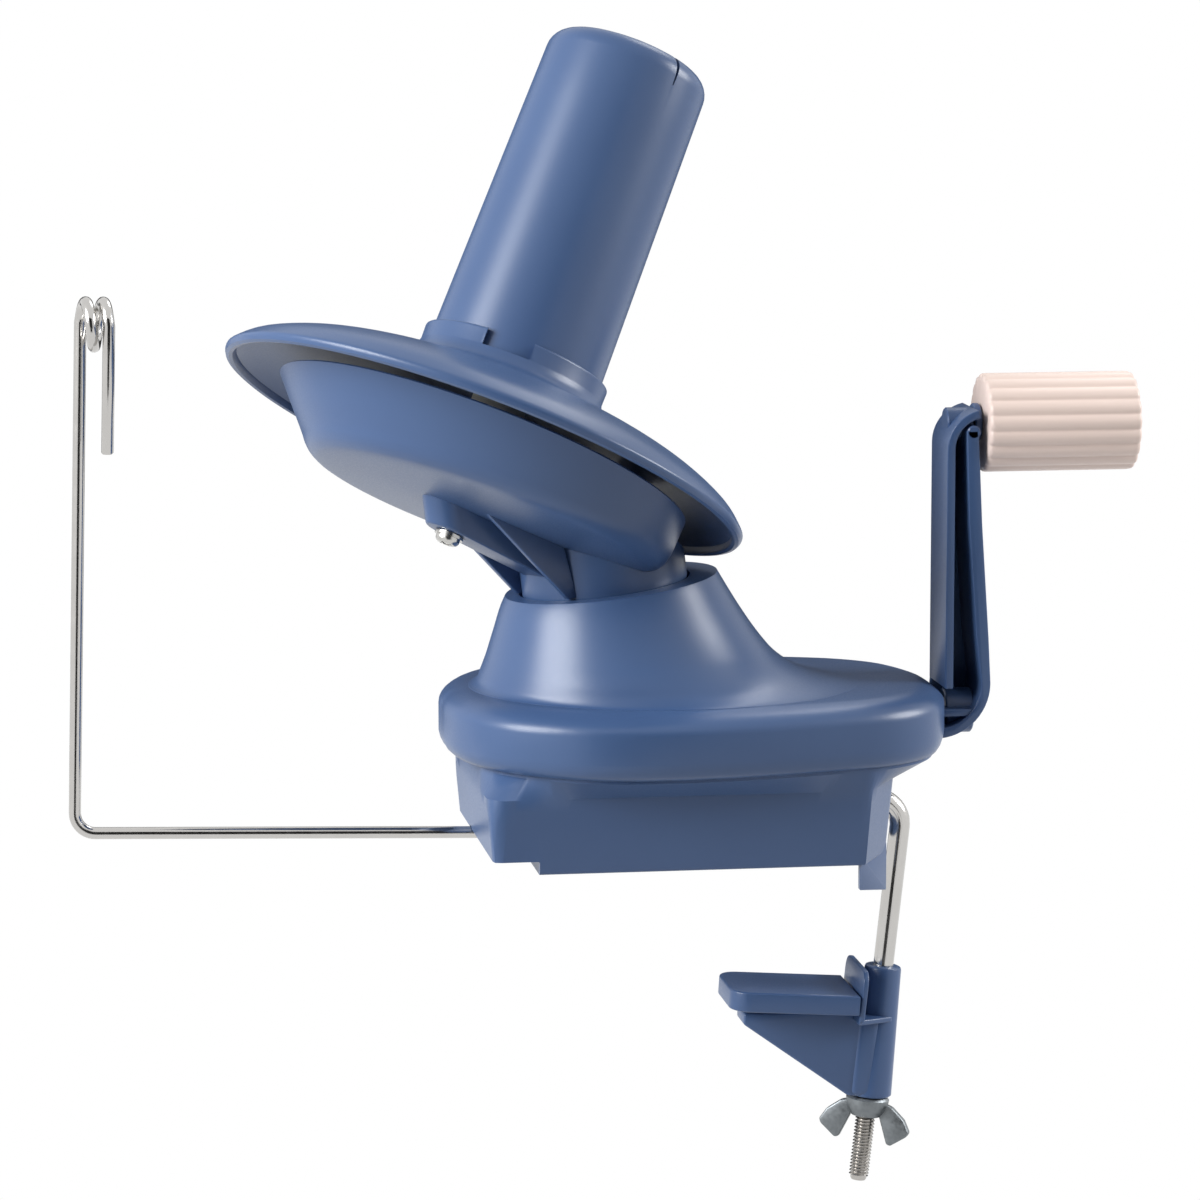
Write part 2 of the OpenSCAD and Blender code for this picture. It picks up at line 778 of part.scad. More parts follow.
module spool_axle() {
    color(steel) spool_frame() difference() {
        translate([0, 0, bowl_boss_end - 0.3]) cylinder(r = axle_r, h = plate_z + 5 - bowl_boss_end);
        translate([0, 0, bowl_boss_end - 1]) cylinder(r = 1.5 + slip, h = 12);
    }
}

module axle_nut() {
    color(steel) spool_frame() translate([0, 0, plate_z]) difference() {
        cylinder(r = 5.5, h = 4, $fn = 6);
        translate([0, 0, -1]) cylinder(r = axle_r + slip, h = 6);
    }
}

module axle_washer() {
    color(steel) spool_frame() translate([0, 0, bowl_boss_end - 1.1]) ring(4.2, 1.5 + slip, 0.8);
}

module axle_screw() {
    color(steel) spool_frame() translate([0, 0, bowl_boss_end - 1.1]) screw(1.5, 10, 3.5, 2.2);
}

// Crank

// Side view of the arm: straight left wall, sloping right wall, round foot
module arm_profile(inset) {
    left = arm_x + inset;
    fr = arm_foot_r - inset;
    tr = min(arm_top_r, arm_right - arm_x - 1 - 2 * inset);
    top = arm_top - inset;
    start = -acos((left - arm_foot[0]) / fr);
    polygon(concat(
        [for (i = [0:8]) let (a = start * (1 - i / 8)) arm_foot + fr * [cos(a), sin(a)]],
        [[arm_right - inset, knob_z - arm_bend_drop], [arm_right - inset, top]],
        [for (i = [0:5]) let (a = 90 + i * 18) [left + tr + tr * cos(a), top - tr + tr * sin(a)]]));
}

module arm_slab(inset, y, d) {
    translate([0, y + d, 0]) rotate([90, 0, 0]) linear_extrude(d) arm_profile(inset);
}

module crank_arm() {
    half = arm_d / 2;
    color(denim) difference() {
        union() {
            difference() {
                arm_slab(0, -half, arm_d);
                arm_slab(arm_wall, -half - 1, arm_d + 1 - arm_wall);
                translate([arm_right - gap_in, -half - 1, knob_z - gap_drop])
                    cube([2 * gap_in, arm_d + 1 - arm_wall, arm_top - arm_wall - knob_z + gap_drop]);
            }
            intersection() {
                along_x(arm_x + 1) cylinder(r = arm_hub_r, h = arm_foot_r);
                arm_slab(0, -half, arm_d);
            }
            translate([arm_x + 1, 0, knob_z]) rotate([0, 90, 0]) cylinder(r = 4.6, h = 8);
            translate([98.4, 0, knob_z]) rotate([0, 90, 0]) cylinder(r = pad_disc_r, h = 2.1);
        }
        along_x(arm_x - 1) cylinder(r = shaft_r + slip, h = shaft_end[1] + 1 - arm_x);
        along_x(arm_x) cylinder(r = 1.6 + slip, h = 20);
        along_x(98) cylinder(r = 3.8, h = 20);
        translate([arm_x + 1.5, 0, knob_z]) rotate([0, 90, 0]) cylinder(r = pin_r + slip, h = 20);
    }
}

module crank_shaft() {
    color(steel) difference() {
        along_x(shaft_end[0]) cylinder(r = shaft_r, h = shaft_end[1] - shaft_end[0]);
        along_x(shaft_end[1] - 12) cylinder(r = 1.6 + slip, h = 13);
    }
}

module crank_gear() {
    cone = root_cone(crank_cone, crank_teeth, drive_outer);
    face = drive_inner * cos(cone);
    rim_r = drive_outer * sin(cone);
    web = 9.9;
    color(ivory) difference() {
        translate([apex_x, 0, crank_z]) rotate([0, 90, 0]) {
            bevel_teeth(crank_cone, crank_teeth, drive_inner, drive_outer, 180 + 180 / crank_teeth);
            rotate_extrude() polygon([
                [0, web], [drive_inner * sin(cone) - 0.6, web], [drive_inner * sin(cone) - 0.6, face],
                [drive_inner * sin(cone), face], [rim_r, drive_outer * cos(cone)], [rim_r, web + 3],
                [9, web + 3], [9, gear_hub_end - apex_x], [0, gear_hub_end - apex_x]]);
        }
        along_x(-10) cylinder(r = shaft_r + slip, h = 60);
    }
}

module crank_screw() {
    color(steel) along_x(98) rotate([180, 0, 0]) screw(1.6, 11, 3.5, 2);
}

module shaft_bush_inner() {
    color(brass) along_x(inner_bush_x[0]) ring(bush_r, shaft_r + running, inner_bush_x[1] - inner_bush_x[0]);
}

module shaft_bush_outer() {
    color(brass) along_x(outer_bush_x[0]) ring(bush_r, shaft_r + running, outer_bush_x[1] - outer_bush_x[0]);
}

module knob_pin() {
    color(steel) translate([arm_x + 1.5, 0, knob_z]) rotate([0, 90, 0]) {
        cylinder(r = pin_r, h = knob_x + knob_l - 5 - arm_x - 1.5);
        translate([0, 0, knob_x + knob_l - 5 - arm_x - 1.5]) cylinder(r = pin_head_r, h = 2);
    }
}

module knob_grip() {
    ridge_r = 3;
    color(pink) translate([knob_x, 0, knob_z]) rotate([0, 90, 0]) difference() {
        linear_extrude(knob_l) {
            circle(knob_r - 1);
            for (i = [0:knob_ridges - 1]) rotate(i * 360 / knob_ridges)
                translate([knob_r - ridge_r, 0]) circle(ridge_r, $fn = 32);
        }
        translate([0, 0, -1]) cylinder(r = pin_r + running, h = knob_l + 2);
        translate([0, 0, knob_l - 5.4]) cylinder(r = pin_head_r + 0.6, h = 10);
    }
}

module knob_cap() {
    color(pink) translate([knob_x + knob_l - 2, 0, knob_z]) rotate([0, 90, 0])
        cylinder(r = pin_head_r + 0.6 - slip, h = 1.8);
}

// Table clamp

module clamp_rod() {
    bend_z = rod_leg_z - rod_bend;
    color(steel) rod_frame() {
        translate([0, 0, -rod_drop]) cylinder(r = rod_r, h = rod_drop + bend_z);
        translate([-rod_bend, 0, bend_z]) rotate([90, 0, 0])
            rotate_extrude(angle = 90) translate([rod_bend, 0]) circle(rod_r);
        translate([-rod_bend - rod_leg_l, 0, rod_leg_z]) rotate([0, 90, 0]) cylinder(r = rod_r, h = rod_leg_l);
    }
}

module rod_clip() {
    color(zinc) rod_frame() translate([rod_boss_x - clip_t, 0, rod_leg_z]) rotate([0, 90, 0])
        ring(clip_r, rod_r + slip, clip_t);
}

module clamp_jaw() {
    seat = -throat - pad_t;
    under = seat - seat_t;
    color(denim) rod_frame() difference() {
        union() {
            translate([0, 0, sleeve_z[0]])
                cylinder(r1 = sleeve_foot_r, r2 = sleeve_r, h = sleeve_z[1] - sleeve_z[0]);
            translate([pad_x, -sleeve_r, sleeve_z[0]])
                cube([-pad_x, 2 * sleeve_r, shelf_z - sleeve_z[0]]);
            translate([pad_x, -guard_half, under]) cube([guard_t, 2 * guard_half, guard_z - under]);
            translate([pad_x - pad_l + 4, -seat_half, under]) cube([pad_l - 3, 2 * seat_half, seat_t]);
            translate([0, gusset_half, 0]) rotate([90, 0, 0]) linear_extrude(2 * gusset_half) polygon([
                [pad_x - pad_l + 5, under + 0.5], [pad_x + 1, under + 0.5],
                [pad_x + 1, sleeve_z[0]], [pad_x - 1, sleeve_z[0]], [pad_x - pad_l + 5, under - 4]]);
        }
        translate([0, 0, sleeve_z[0] - 1])
            cylinder(r = rod_r + running, h = sleeve_z[1] - sleeve_z[0] + 2);
    }
}

module jaw_pad() {
    corner = 6;
    color(denim) rod_frame() translate([pad_x - pad_l, -pad_w / 2, -throat - pad_t]) linear_extrude(pad_t) {
        translate([corner, 0]) square([pad_l - corner - 0.3, pad_w]);
        translate([0, corner]) square([corner * 2, pad_w - 2 * corner]);
        for (y = [corner, pad_w - corner]) translate([corner, y]) circle(corner);
    }
}

module wing_nut() {
    wing_t = 2.6;
    tip = [10.2, -8.4];
    color(zinc) rod_frame() translate([0, 0, nut_z]) difference() {
        union() {
            translate([0, 0, -nut_h]) cylinder(r1 = 4.6, r2 = 6.4, h = nut_h);
            for (s = [0, 180]) rotate([0, 0, s]) translate([0, wing_t / 2, 0]) rotate([90, 0, 0])
                linear_extrude(wing_t) {
                    polygon([[3.4, -2], [6.2, -1.6], [12.4, -6], [8, -11], [3.4, -7.6]]);
                    translate(tip) circle(3.3);
                }
        }
        translate([0, 0, -nut_h - 1]) cylinder(r = rod_r + running, h = nut_h + 2);
    }
}

// Yarn guide

function eye_point(t, turn, r, drop) =
    let (out = eye_r + r * cos(turn))
    [t / 360 * eye_pitch + r * sin(turn), out * cos(t), out * sin(t) - drop];

// One and a half turns of wire about the X direction, then the free leg down
module eye_coil() {
    steps = 54;
    sides = 16;
    r = wire_r - slip;
    last = steps + 2;
    path = concat([[0, 2]], [for (i = [0:steps]) [i * 540 / steps, 0]], [[540, free_leg]]);
    points = [
        for (v = path) for (j = [0:sides - 1]) eye_point(v[0], j * 360 / sides, r, v[1])
    ];
    faces = concat(
        [[for (j = [sides - 1:-1:0]) j], [for (j = [0:sides - 1]) last * sides + j]],
        [for (i = [0:last - 1]) for (j = [0:sides - 1])
            let (a = i * sides, k = (j + 1) % sides)
            [a + j, a + k, a + sides + k, a + sides + j]]);
    polyhedron(points, faces);
}

module yarn_guide() {
    color(steel) guide_frame() {
        translate([guide_bend - guide_reach, 0, 0]) rotate([0, 90, 0])
            cylinder(r = wire_r, h = guide_reach - guide_bend + guide_in);
        translate([guide_bend - guide_reach, 0, guide_bend]) rotate([90, 0, 0])
            rotate([0, 0, 180]) rotate_extrude(angle = 90) translate([guide_bend, 0]) circle(wire_r);
        translate([-guide_reach, 0, guide_bend]) cylinder(r = wire_r, h = guide_h - guide_bend);
        translate([-guide_reach, -eye_r, guide_h]) eye_coil();
    }
}

lower_case();
upper_cover();
case_screws();
post_bracket();
bracket_screws();
centre_post();
thrust_sleeve();
sun_gear();
post_nut();
shaft_bush_inner();
shaft_bush_outer();
clamp_rod();
rod_clip();
swing_head();
neck_pinion();
pinion_screws();
neck_bush_lower();
neck_bush_upper();
spool_bush();
spool_flange();
spool_tube();
spool_gear();
spool_axle();
axle_nut();
axle_washer();
axle_screw();
crank_arm();
crank_shaft();
crank_gear();
crank_screw();
knob_pin();
knob_grip();
knob_cap();
yarn_guide();
clamp_jaw();
jaw_pad();
wing_nut();
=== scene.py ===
# %% [markdown]
# # A hand-cranked yarn ball winder
# The winder clamps to a table edge. Turning the crank swings a leaning head round, and the head
# turns a tilted spool, so the yarn is laid in a cross-wound ball. The CAD solids carry the joints
# and the sizes. This lesson dresses them: each moulded shell is remade with soft edges, and each
# finish is built from nodes.

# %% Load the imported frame
import bpy
import bmesh
import json
from math import radians, sin, cos, pi, sqrt, atan2, hypot
from mathutils import Matrix, Vector


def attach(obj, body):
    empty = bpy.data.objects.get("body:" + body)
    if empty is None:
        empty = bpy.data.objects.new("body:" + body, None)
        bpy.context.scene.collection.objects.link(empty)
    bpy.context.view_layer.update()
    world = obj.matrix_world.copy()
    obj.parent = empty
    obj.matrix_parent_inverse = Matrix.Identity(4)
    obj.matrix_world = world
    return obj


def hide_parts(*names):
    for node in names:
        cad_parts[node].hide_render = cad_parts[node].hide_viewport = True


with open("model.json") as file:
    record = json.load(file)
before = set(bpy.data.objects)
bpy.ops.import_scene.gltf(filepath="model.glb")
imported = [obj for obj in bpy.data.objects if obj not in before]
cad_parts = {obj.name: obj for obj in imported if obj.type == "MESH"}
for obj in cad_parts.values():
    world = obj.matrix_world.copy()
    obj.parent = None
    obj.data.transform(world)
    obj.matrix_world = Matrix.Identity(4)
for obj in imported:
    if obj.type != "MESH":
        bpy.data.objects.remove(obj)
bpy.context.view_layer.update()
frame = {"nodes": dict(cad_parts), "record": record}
MM = 0.001

# %% [markdown]
# ## Frames of the moving groups
# The CAD source places its groups by a few named angles and heights. The same matrices are used
# here, so that every remade shell lands on its own solid.

# %% Matrices for the head, the spool, the clamp rod and the yarn guide
HEAD_TILT = 7
HEAD_TURN = 26.35
SPOOL_TILT = 33.35
CROSS_H = 178.1
RING_H = 77
DISC_LIFT = 46.6
RIM_DROP = (CROSS_H - RING_H - DISC_LIFT) / cos(radians(SPOOL_TILT))
CRANK_Z = 37.5
KNOB_X = 101
KNOB_Z = 122
ROD_X = 77.8
ROD_LEAN = 6.25
GUIDE_TILT = 1.5
GUIDE_FOOT = (-46, 12, 2.7)


def move(x, y, z):
    return Matrix.Translation((x * MM, y * MM, z * MM))


def turn(degrees, axis):
    return Matrix.Rotation(radians(degrees), 4, axis)


UPRIGHT = Matrix.Identity(4)
HEAD = turn(-HEAD_TILT, "Y")
SWING = HEAD @ turn(HEAD_TURN, "Z")
SPOOL = SWING @ move(0, 0, CROSS_H) @ turn(SPOOL_TILT, "Y") @ move(0, 0, -RIM_DROP)
ROD = move(ROD_X, 0, 0) @ turn(ROD_LEAN, "Y")
GUIDE = move(*GUIDE_FOOT) @ turn(GUIDE_TILT, "Y")
KNOB = move(KNOB_X, 0, KNOB_Z) @ turn(90, "Y")
print("the disc's rim lies %.1f mm below the crossing of the two axes" % RIM_DROP)

# %% [markdown]
# ## Finishes
# The winder shows satin ABS in a denim blue, the same plastic in a pale pink for the knob, bright
# nickel-plated wire, dull zinc on the wing nut and bare steel on the screw and the thread; the thread's
# steel is drawn darker, as painted shade for its grooves. Inside are ivory acetal gears and bronze
# bushes. Each finish is one Principled shader with its pattern read from Object coordinates, so that
# the pattern stays on the piece when a joint moves.

# %% Colour and node helpers


def linear(hex_code):
    """sRGB hex to linear RGBA."""
    parts = [int(hex_code[i:i + 2], 16) / 255 for i in (1, 3, 5)]
    return [c / 12.92 if c <= 0.04045 else ((c + 0.055) / 1.055) ** 2.4 for c in parts] + [1]


def add(tree, kind, links=None, **settings):
    """Add one node, set what is a setting and link what is a socket."""
    node = tree.nodes.new(kind)
    for name, value in settings.items():
        setattr(node, name, value)
    for name, value in (links or {}).items():
        if isinstance(value, bpy.types.NodeSocket):
            tree.links.new(value, node.inputs[name])
        else:
            node.inputs[name].default_value = value
    return node


def start_material(name):
    material = bpy.data.materials.new(name)
    material.use_nodes = True
    tree = material.node_tree
    shader = tree.nodes["Principled BSDF"]
    coords = add(tree, "ShaderNodeTexCoord").outputs["Object"]
    return material, tree, shader, coords


def noise_of(tree, coords, size_mm, detail):
    """Noise with spots of about one size."""
    links = {"Vector": coords, "Scale": 1 / (size_mm * MM), "Detail": detail}
    return add(tree, "ShaderNodeTexNoise", links).outputs["Fac"]


def tinted(tree, shader, factor, dark, light):
    """Let a noise mix two near colours."""
    tint = add(tree, "ShaderNodeMix", {"Factor": factor}, data_type="RGBA")
    tint.inputs["A"].default_value = linear(dark)
    tint.inputs["B"].default_value = linear(light)
    tree.links.new(tint.outputs["Result"], shader.inputs["Base Color"])


def roughened(tree, shader, factor, low, high):
    """Let a noise move the roughness between two values."""
    links = {"Value": factor, "From Min": 0.3, "From Max": 0.7, "To Min": low, "To Max": high}
    rough = add(tree, "ShaderNodeMapRange", links)
    tree.links.new(rough.outputs["Result"], shader.inputs["Roughness"])


# %% Satin moulded ABS
# A moulded satin shell shows a broad soft highlight, a very fine grain and a faint cloudiness.
# The real grain is about 0.1 mm, so it is drawn at 0.5 mm to show at all.
CLOUD_MM = 28
GRAIN_MM = 0.5
GRAIN_HEIGHT_MM = 0.05
ABS_IOR = 1.52
ABS_GLOSS = 0.4


def moulded_abs(name, light, dark, roughness):
    material, tree, shader, coords = start_material(name)
    tinted(tree, shader, noise_of(tree, coords, CLOUD_MM, 3.0), dark, light)
    grain = noise_of(tree, coords, GRAIN_MM, 2.0)
    roughened(tree, shader, grain, roughness - 0.04, roughness + 0.05)
    links = {"Height": grain, "Strength": 0.06, "Distance": GRAIN_HEIGHT_MM * MM}
    lumps = add(tree, "ShaderNodeBump", links)
    tree.links.new(lumps.outputs["Normal"], shader.inputs["Normal"])
    shader.inputs["IOR"].default_value = ABS_IOR
    shader.inputs["Specular IOR Level"].default_value = ABS_GLOSS
    return material


DENIM_ABS = moulded_abs("satin_moulded_abs_denim", "#40587f", "#3c537a", 0.33)
PINK_ABS = moulded_abs("satin_moulded_abs_pink", "#e6d3ca", "#e2cec4", 0.38)
ACETAL = moulded_abs("moulded_acetal_ivory", "#e6e2d6", "#dcd7c8", 0.5)
print("plastics:", DENIM_ABS.name, PINK_ABS.name, ACETAL.name)

# %% Plated metals
# Nickel plate on drawn wire is bright, with faint cloudy patches. Dull zinc is greyer, with the small
# blotches of a tumbled casting.


def plated_metal(name, light, dark, roughness, blotch_mm, spread):
    material, tree, shader, coords = start_material(name)
    blotch = noise_of(tree, coords, blotch_mm, 4.0)
    tinted(tree, shader, blotch, dark, light)
    roughened(tree, shader, blotch, roughness - spread, roughness + spread)
    shader.inputs["Metallic"].default_value = 1.0
    return material


NICKEL = plated_metal("bright_nickel_plated_steel", "#cdcbc8", "#bfbdba", 0.15, 6, 0.04)
ZINC = plated_metal("dull_zinc_plate", "#8b9093", "#6c7175", 0.46, 1.2, 0.08)
SCREW_STEEL = plated_metal("zinc_plated_screw_steel", "#d0cfcc", "#bdbcb9", 0.24, 2, 0.05)
# The thread's steel is a darker copy of the bright steel: painted shade that stands in for the dark grooves of
# the thread.
SHADE_DARKENED_THREAD_STEEL = plated_metal("thread_steel_darkened_as_painted_shade", "#c2bfbb", "#adaaa6", 0.2, 2, 0.05)
BRONZE = plated_metal("sintered_bronze", "#c8a860", "#a98a48", 0.42, 1.5, 0.06)
print("metals:", NICKEL.name, ZINC.name, SCREW_STEEL.name, SHADE_DARKENED_THREAD_STEEL.name, BRONZE.name)

# %% Dress the CAD nodes that stay
FINISH_OF_SLOT = {
    "blue_plastic": DENIM_ABS, "knob_plastic": PINK_ABS, "gear_plastic": ACETAL, "bright_steel": NICKEL,
    "screw_steel": SCREW_STEEL, "zinc": ZINC, "bearing_bronze": BRONZE,
}
for part in frame["record"]["subparts"]:
    solid = frame["nodes"][part["node"]]
    solid.data.materials.clear()
    solid.data.materials.append(FINISH_OF_SLOT[part["material_slot"]])
print("dressed", len(frame["nodes"]), "solids")

# %% [markdown]
# ## Making a piece
# Every remade piece is a bmesh that is worked in millimetres in its own frame, then put in place by
# that frame's matrix. The mesh carries its place, and the object itself stays at the origin.

# %% Finish a piece
EDGE_ANGLE = 32


def to_object(name, bm, material=None):
    """Turn a bmesh into an object in the scene."""
    mesh = bpy.data.meshes.new(name)
    bm.to_mesh(mesh)
    bm.free()
    if material:
        mesh.materials.append(material)
    made = bpy.data.objects.new(name, mesh)
    bpy.context.scene.collection.objects.link(made)
    return made


def finish_piece(bm, name, body, material, place=UPRIGHT, replaces=(), angle=EDGE_ANGLE):
    """Turn a bmesh in millimetres into a piece that rides on a body."""
    bmesh.ops.remove_doubles(bm, verts=bm.verts, dist=0.001)
    bmesh.ops.recalc_face_normals(bm, faces=bm.faces)
    bmesh.ops.transform(bm, matrix=place @ Matrix.Scale(MM, 4), verts=bm.verts)
    for face in bm.faces:
        face.smooth = True
    piece = to_object(name, bm, material)
    piece.data.set_sharp_from_angle(angle=radians(angle))
    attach(piece, body)
    if replaces:
        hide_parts(*replaces)
    print(name, len(piece.data.polygons), "faces")


# %% Carve, join and shift


def carve(bm, cutter):
    """Cut one bmesh by another through Blender's Boolean modifier, and give the result back."""
    holders = []
    for number, part in enumerate((bm, cutter)):
        bmesh.ops.recalc_face_normals(part, faces=part.faces)
        holders.append(to_object("carve%d" % number, part))
    knife = holders[0].modifiers.new("knife", "BOOLEAN")
    knife.operation = "DIFFERENCE"
    knife.object = holders[1]
    knife.solver = "EXACT"
    graph = bpy.context.evaluated_depsgraph_get()
    carved = bmesh.new()
    carved.from_object(holders[0], graph)
    for holder in holders:
        mesh = holder.data
        bpy.data.objects.remove(holder)
        bpy.data.meshes.remove(mesh)
    return carved


def join(target, *others):
    """Add other bmeshes as islands of the first one."""
    for other in others:
        mesh = bpy.data.meshes.new("joined")
        other.to_mesh(mesh)
        other.free()
        target.from_mesh(mesh)
        bpy.data.meshes.remove(mesh)
    return target


def shifted(bm, matrix):
    """Move a bmesh in millimetres by a matrix written in millimetres."""
    bmesh.ops.transform(bm, matrix=matrix, verts=bm.verts)
    return bm


def place_mm(x=0, y=0, z=0):
    return Matrix.Translation((x, y, z))


# %% Simple solids


def verts_of(items):
    return [item for item in items if isinstance(item, bmesh.types.BMVert)]


def edges_of(items):
    return [item for item in items if isinstance(item, bmesh.types.BMEdge)]


def everything(bm):
    return bm.verts[:] + bm.edges[:] + bm.faces[:]


def soften(bm, edges, offset, segments=3, clamp=False):
    """Round off some edges."""
    bmesh.ops.bevel(bm, geom=edges, offset=offset, segments=segments, profile=0.5, affect="EDGES",
                    clamp_overlap=clamp, material=-1)


def spun(profile, steps=96):
    """Solid of revolution about Z, from (radius, height) points that meet the axis or close."""
    bm = bmesh.new()
    verts = [bm.verts.new((r, 0, z)) for r, z in profile]
    edges = [bm.edges.new(pair) for pair in zip(verts, verts[1:])]
    bmesh.ops.spin(bm, geom=verts + edges, cent=(0, 0, 0), axis=(0, 0, 1), angle=2 * pi, steps=steps,
                   use_merge=True)
    bmesh.ops.remove_doubles(bm, verts=bm.verts, dist=0.0005)
    return bm


def block(size, centre, edge=0.0, segments=3):
    """Box with bevelled edges."""
    bm = bmesh.new()
    bmesh.ops.create_cube(bm, size=1)
    bmesh.ops.scale(bm, vec=size, verts=bm.verts)
    if edge:
        soften(bm, bm.edges[:], edge, segments)
    bmesh.ops.translate(bm, vec=centre, verts=bm.verts)
    return bm


def pin(r, length, segments):
    """Round bar about Z, to cut a hole with."""
    bm = bmesh.new()
    bmesh.ops.create_cone(bm, cap_ends=True, segments=segments, radius1=r, radius2=r, depth=length)
    return bm


def prism(points, along):
    """Solid from a flat outline that is drawn along a vector."""
    bm = bmesh.new()
    face = bm.faces.new([bm.verts.new(point) for point in points])
    grown = bmesh.ops.extrude_face_region(bm, geom=[face])
    bmesh.ops.translate(bm, vec=along, verts=verts_of(grown["geom"]))
    bmesh.ops.recalc_face_normals(bm, faces=bm.faces)
    return bm


def slab(points, thickness, edge=0.0):
    """Plate of an XZ outline, centred on Y, with bevelled edges."""
    bm = prism([(x, -thickness / 2, z) for x, z in points], (0, thickness, 0))
    if edge:
        soften(bm, bm.edges[:], edge)
    return bm


# %% Curves


def fillet(centre, r, start, end, count):
    """Points on an arc, for a rounded corner of a profile."""
    return [(centre[0] + r * cos(radians(start + (end - start) * i / count)),
             centre[1] + r * sin(radians(start + (end - start) * i / count))) for i in range(count + 1)]


def eased(levels, count):
    """Smooth curve through a few points, with count steps between each two."""
    padded = [levels[0]] + list(levels) + [levels[-1]]
    curve = []
    for before, here, there, after in zip(padded, padded[1:], padded[2:], padded[3:]):
        for step in range(count):
            t = step / count
            curve.append(tuple(
                q + t / 2 * (r - p + t * (2 * p - 5 * q + 4 * r - s + t * (3 * q - p - 3 * r + s)))
                for p, q, r, s in zip(before, here, there, after)))
    return curve + [tuple(levels[-1])]


# %% [markdown]
# ## The winding disc
# The disc is a thin dome with a rounded, turned-down rim and a short collar for the tube. It is
# round, so one profile spun about the axis makes it. The two notches in the collar are carved out
# afterwards, because a spin can't leave a gap.

# %% Winding disc
DISC_R = 78.1
PLATE_Z = 21
SKIN = 2.2
COLLAR_IN = 25.52
COLLAR_R = 27.5
COLLAR_TOP = 28.2
NOTCH = {"turn": 230.5, "width": 14.1, "depth": 5}
# Radius less than the rim's, and height, from the collar's hollow foot out to the rim
DOME = [(50.7, 23.5), (49.4, 20.7), (46.2, 18.4), (36, 16.1), (24, 13.5), (14, 10.4), (5.4, 6.3),
        (0.8, 2.4), (0, 1), (0.6, -0.4)]
# The rim's turned-in underside
RIM_UNDER = [(1.6, -0.8), (2.6, -0.5), (3, 0.2), (3.2, 1.4)]
COLLAR_ROUND = 0.7
WALL_INSET = 0.7
outside = [(DISC_R - inward, height) for inward, height in eased(DOME, 4)]
inside = [(DISC_R - inward - WALL_INSET, height - SKIN) for inward, height in DOME[2:7]]
disc_profile = (
    [(0.0, PLATE_Z - SKIN), (0.0, PLATE_Z), (COLLAR_IN, PLATE_Z), (COLLAR_IN, COLLAR_TOP - 0.3),
     (COLLAR_IN + 0.3, COLLAR_TOP)]
    + fillet((COLLAR_R - COLLAR_ROUND, COLLAR_TOP - COLLAR_ROUND), COLLAR_ROUND, 90, 0, 3)
    + outside
    + [(DISC_R - inward, height) for inward, height in RIM_UNDER]
    + inside[::-1]
    + [(COLLAR_IN, PLATE_Z - SKIN), (0.0, PLATE_Z - SKIN)])
disc = spun(disc_profile, 128)
for spot in (NOTCH["turn"], NOTCH["turn"] + 180):
    cutter = block((8, NOTCH["width"], 2 * NOTCH["depth"]), (COLLAR_IN + 1, 0, COLLAR_TOP), 0.4)
    disc = carve(disc, shifted(cutter, turn(spot, "Z")))
finish_piece(disc, "winding_disc", "spool", DENIM_ABS, SPOOL, ["spool_flange"])

# %% [markdown]
# ## The winding tube
# The tube tapers a little so that the ball slides off. A slit at its top catches the end of the yarn.

# %% Winding tube
TUBE_FOOT_R = 25.4
TUBE_TOP_R = 24
TUBE_END = 122.9
TUBE_ROUND = 6
SEAT_GAP = 0.05
tube_base = PLATE_Z + SEAT_GAP
straight_h = TUBE_END - TUBE_ROUND - PLATE_Z
tube_profile = (
    [(TUBE_FOOT_R - SKIN, tube_base), (TUBE_FOOT_R, tube_base)]
    + [(TUBE_FOOT_R + (TUBE_TOP_R - TUBE_FOOT_R) * k / 6, PLATE_Z + straight_h * k / 6)
       for k in range(1, 6)]
    + fillet((TUBE_TOP_R - TUBE_ROUND, TUBE_END - TUBE_ROUND), TUBE_ROUND, 0, 90, 8)
    + [(12.0, TUBE_END), (0.0, TUBE_END), (0.0, TUBE_END - SKIN),
       (TUBE_TOP_R - TUBE_ROUND, TUBE_END - SKIN), (TUBE_TOP_R - SKIN, TUBE_END - TUBE_ROUND),
       (TUBE_FOOT_R - SKIN, tube_base)])
tube = spun(tube_profile, 128)
# The slit widens from a hair at its foot to 2 mm above the tube's end
SLIT_TURN = 273
SLIT_DEPTH = 9
slit = slab([(-0.15, 0), (0.15, 0), (1.0, 14), (-1.0, 14)], 12)
slit_place = place_mm(TUBE_TOP_R - 2, 0, TUBE_END - SLIT_DEPTH)
tube = carve(tube, shifted(slit, turn(SLIT_TURN, "Z") @ slit_place @ turn(90, "Z")))
finish_piece(tube, "winding_tube", "spool", DENIM_ABS, SPOOL, ["spool_tube"])

# %% [markdown]
# ## The swing head
# A bowl sits under the disc and hides the spool's gear. It is moulded in one with the neck and leans
# towards it, so it is a stack of shifted circles joined by bridges, outside and inside.

# %% Bowl
BOWL_R = 61.3
BOWL_WALL = 2.2
BOWL_SLOPE = 0.03
# Height above the rim plane, radius less than the rim's, and shift towards the neck
BOWL_LEVELS = [(0.2, 0, 0), (-6, 3.2, 3.5), (-11, 5.8, 6.2), (-14, 7.6, 6.9), (-16, 10, 7),
               (-17.2, 14, 6.8), (-18, 27, 5), (-19, 47.3, 3)]
FULL_SLOPE_AT = 11
LIP_Z = 0.7


def ring_edges(verts):
    return list({edge for vert in verts for edge in vert.link_edges})


def ring_at(bm, r, centre, slope=0.0, segments=96, depth=1.0):
    """Circle of edges, pressed to a depth along Y, in a plane that is level or slopes along X."""
    made = bmesh.ops.create_circle(bm, cap_ends=False, radius=r, segments=segments)
    bmesh.ops.scale(bm, vec=(1, depth, 1), verts=made["verts"])
    bmesh.ops.translate(bm, vec=centre, verts=made["verts"])
    for vert in made["verts"]:
        vert.co.z += slope * vert.co.x
    return ring_edges(made["verts"])


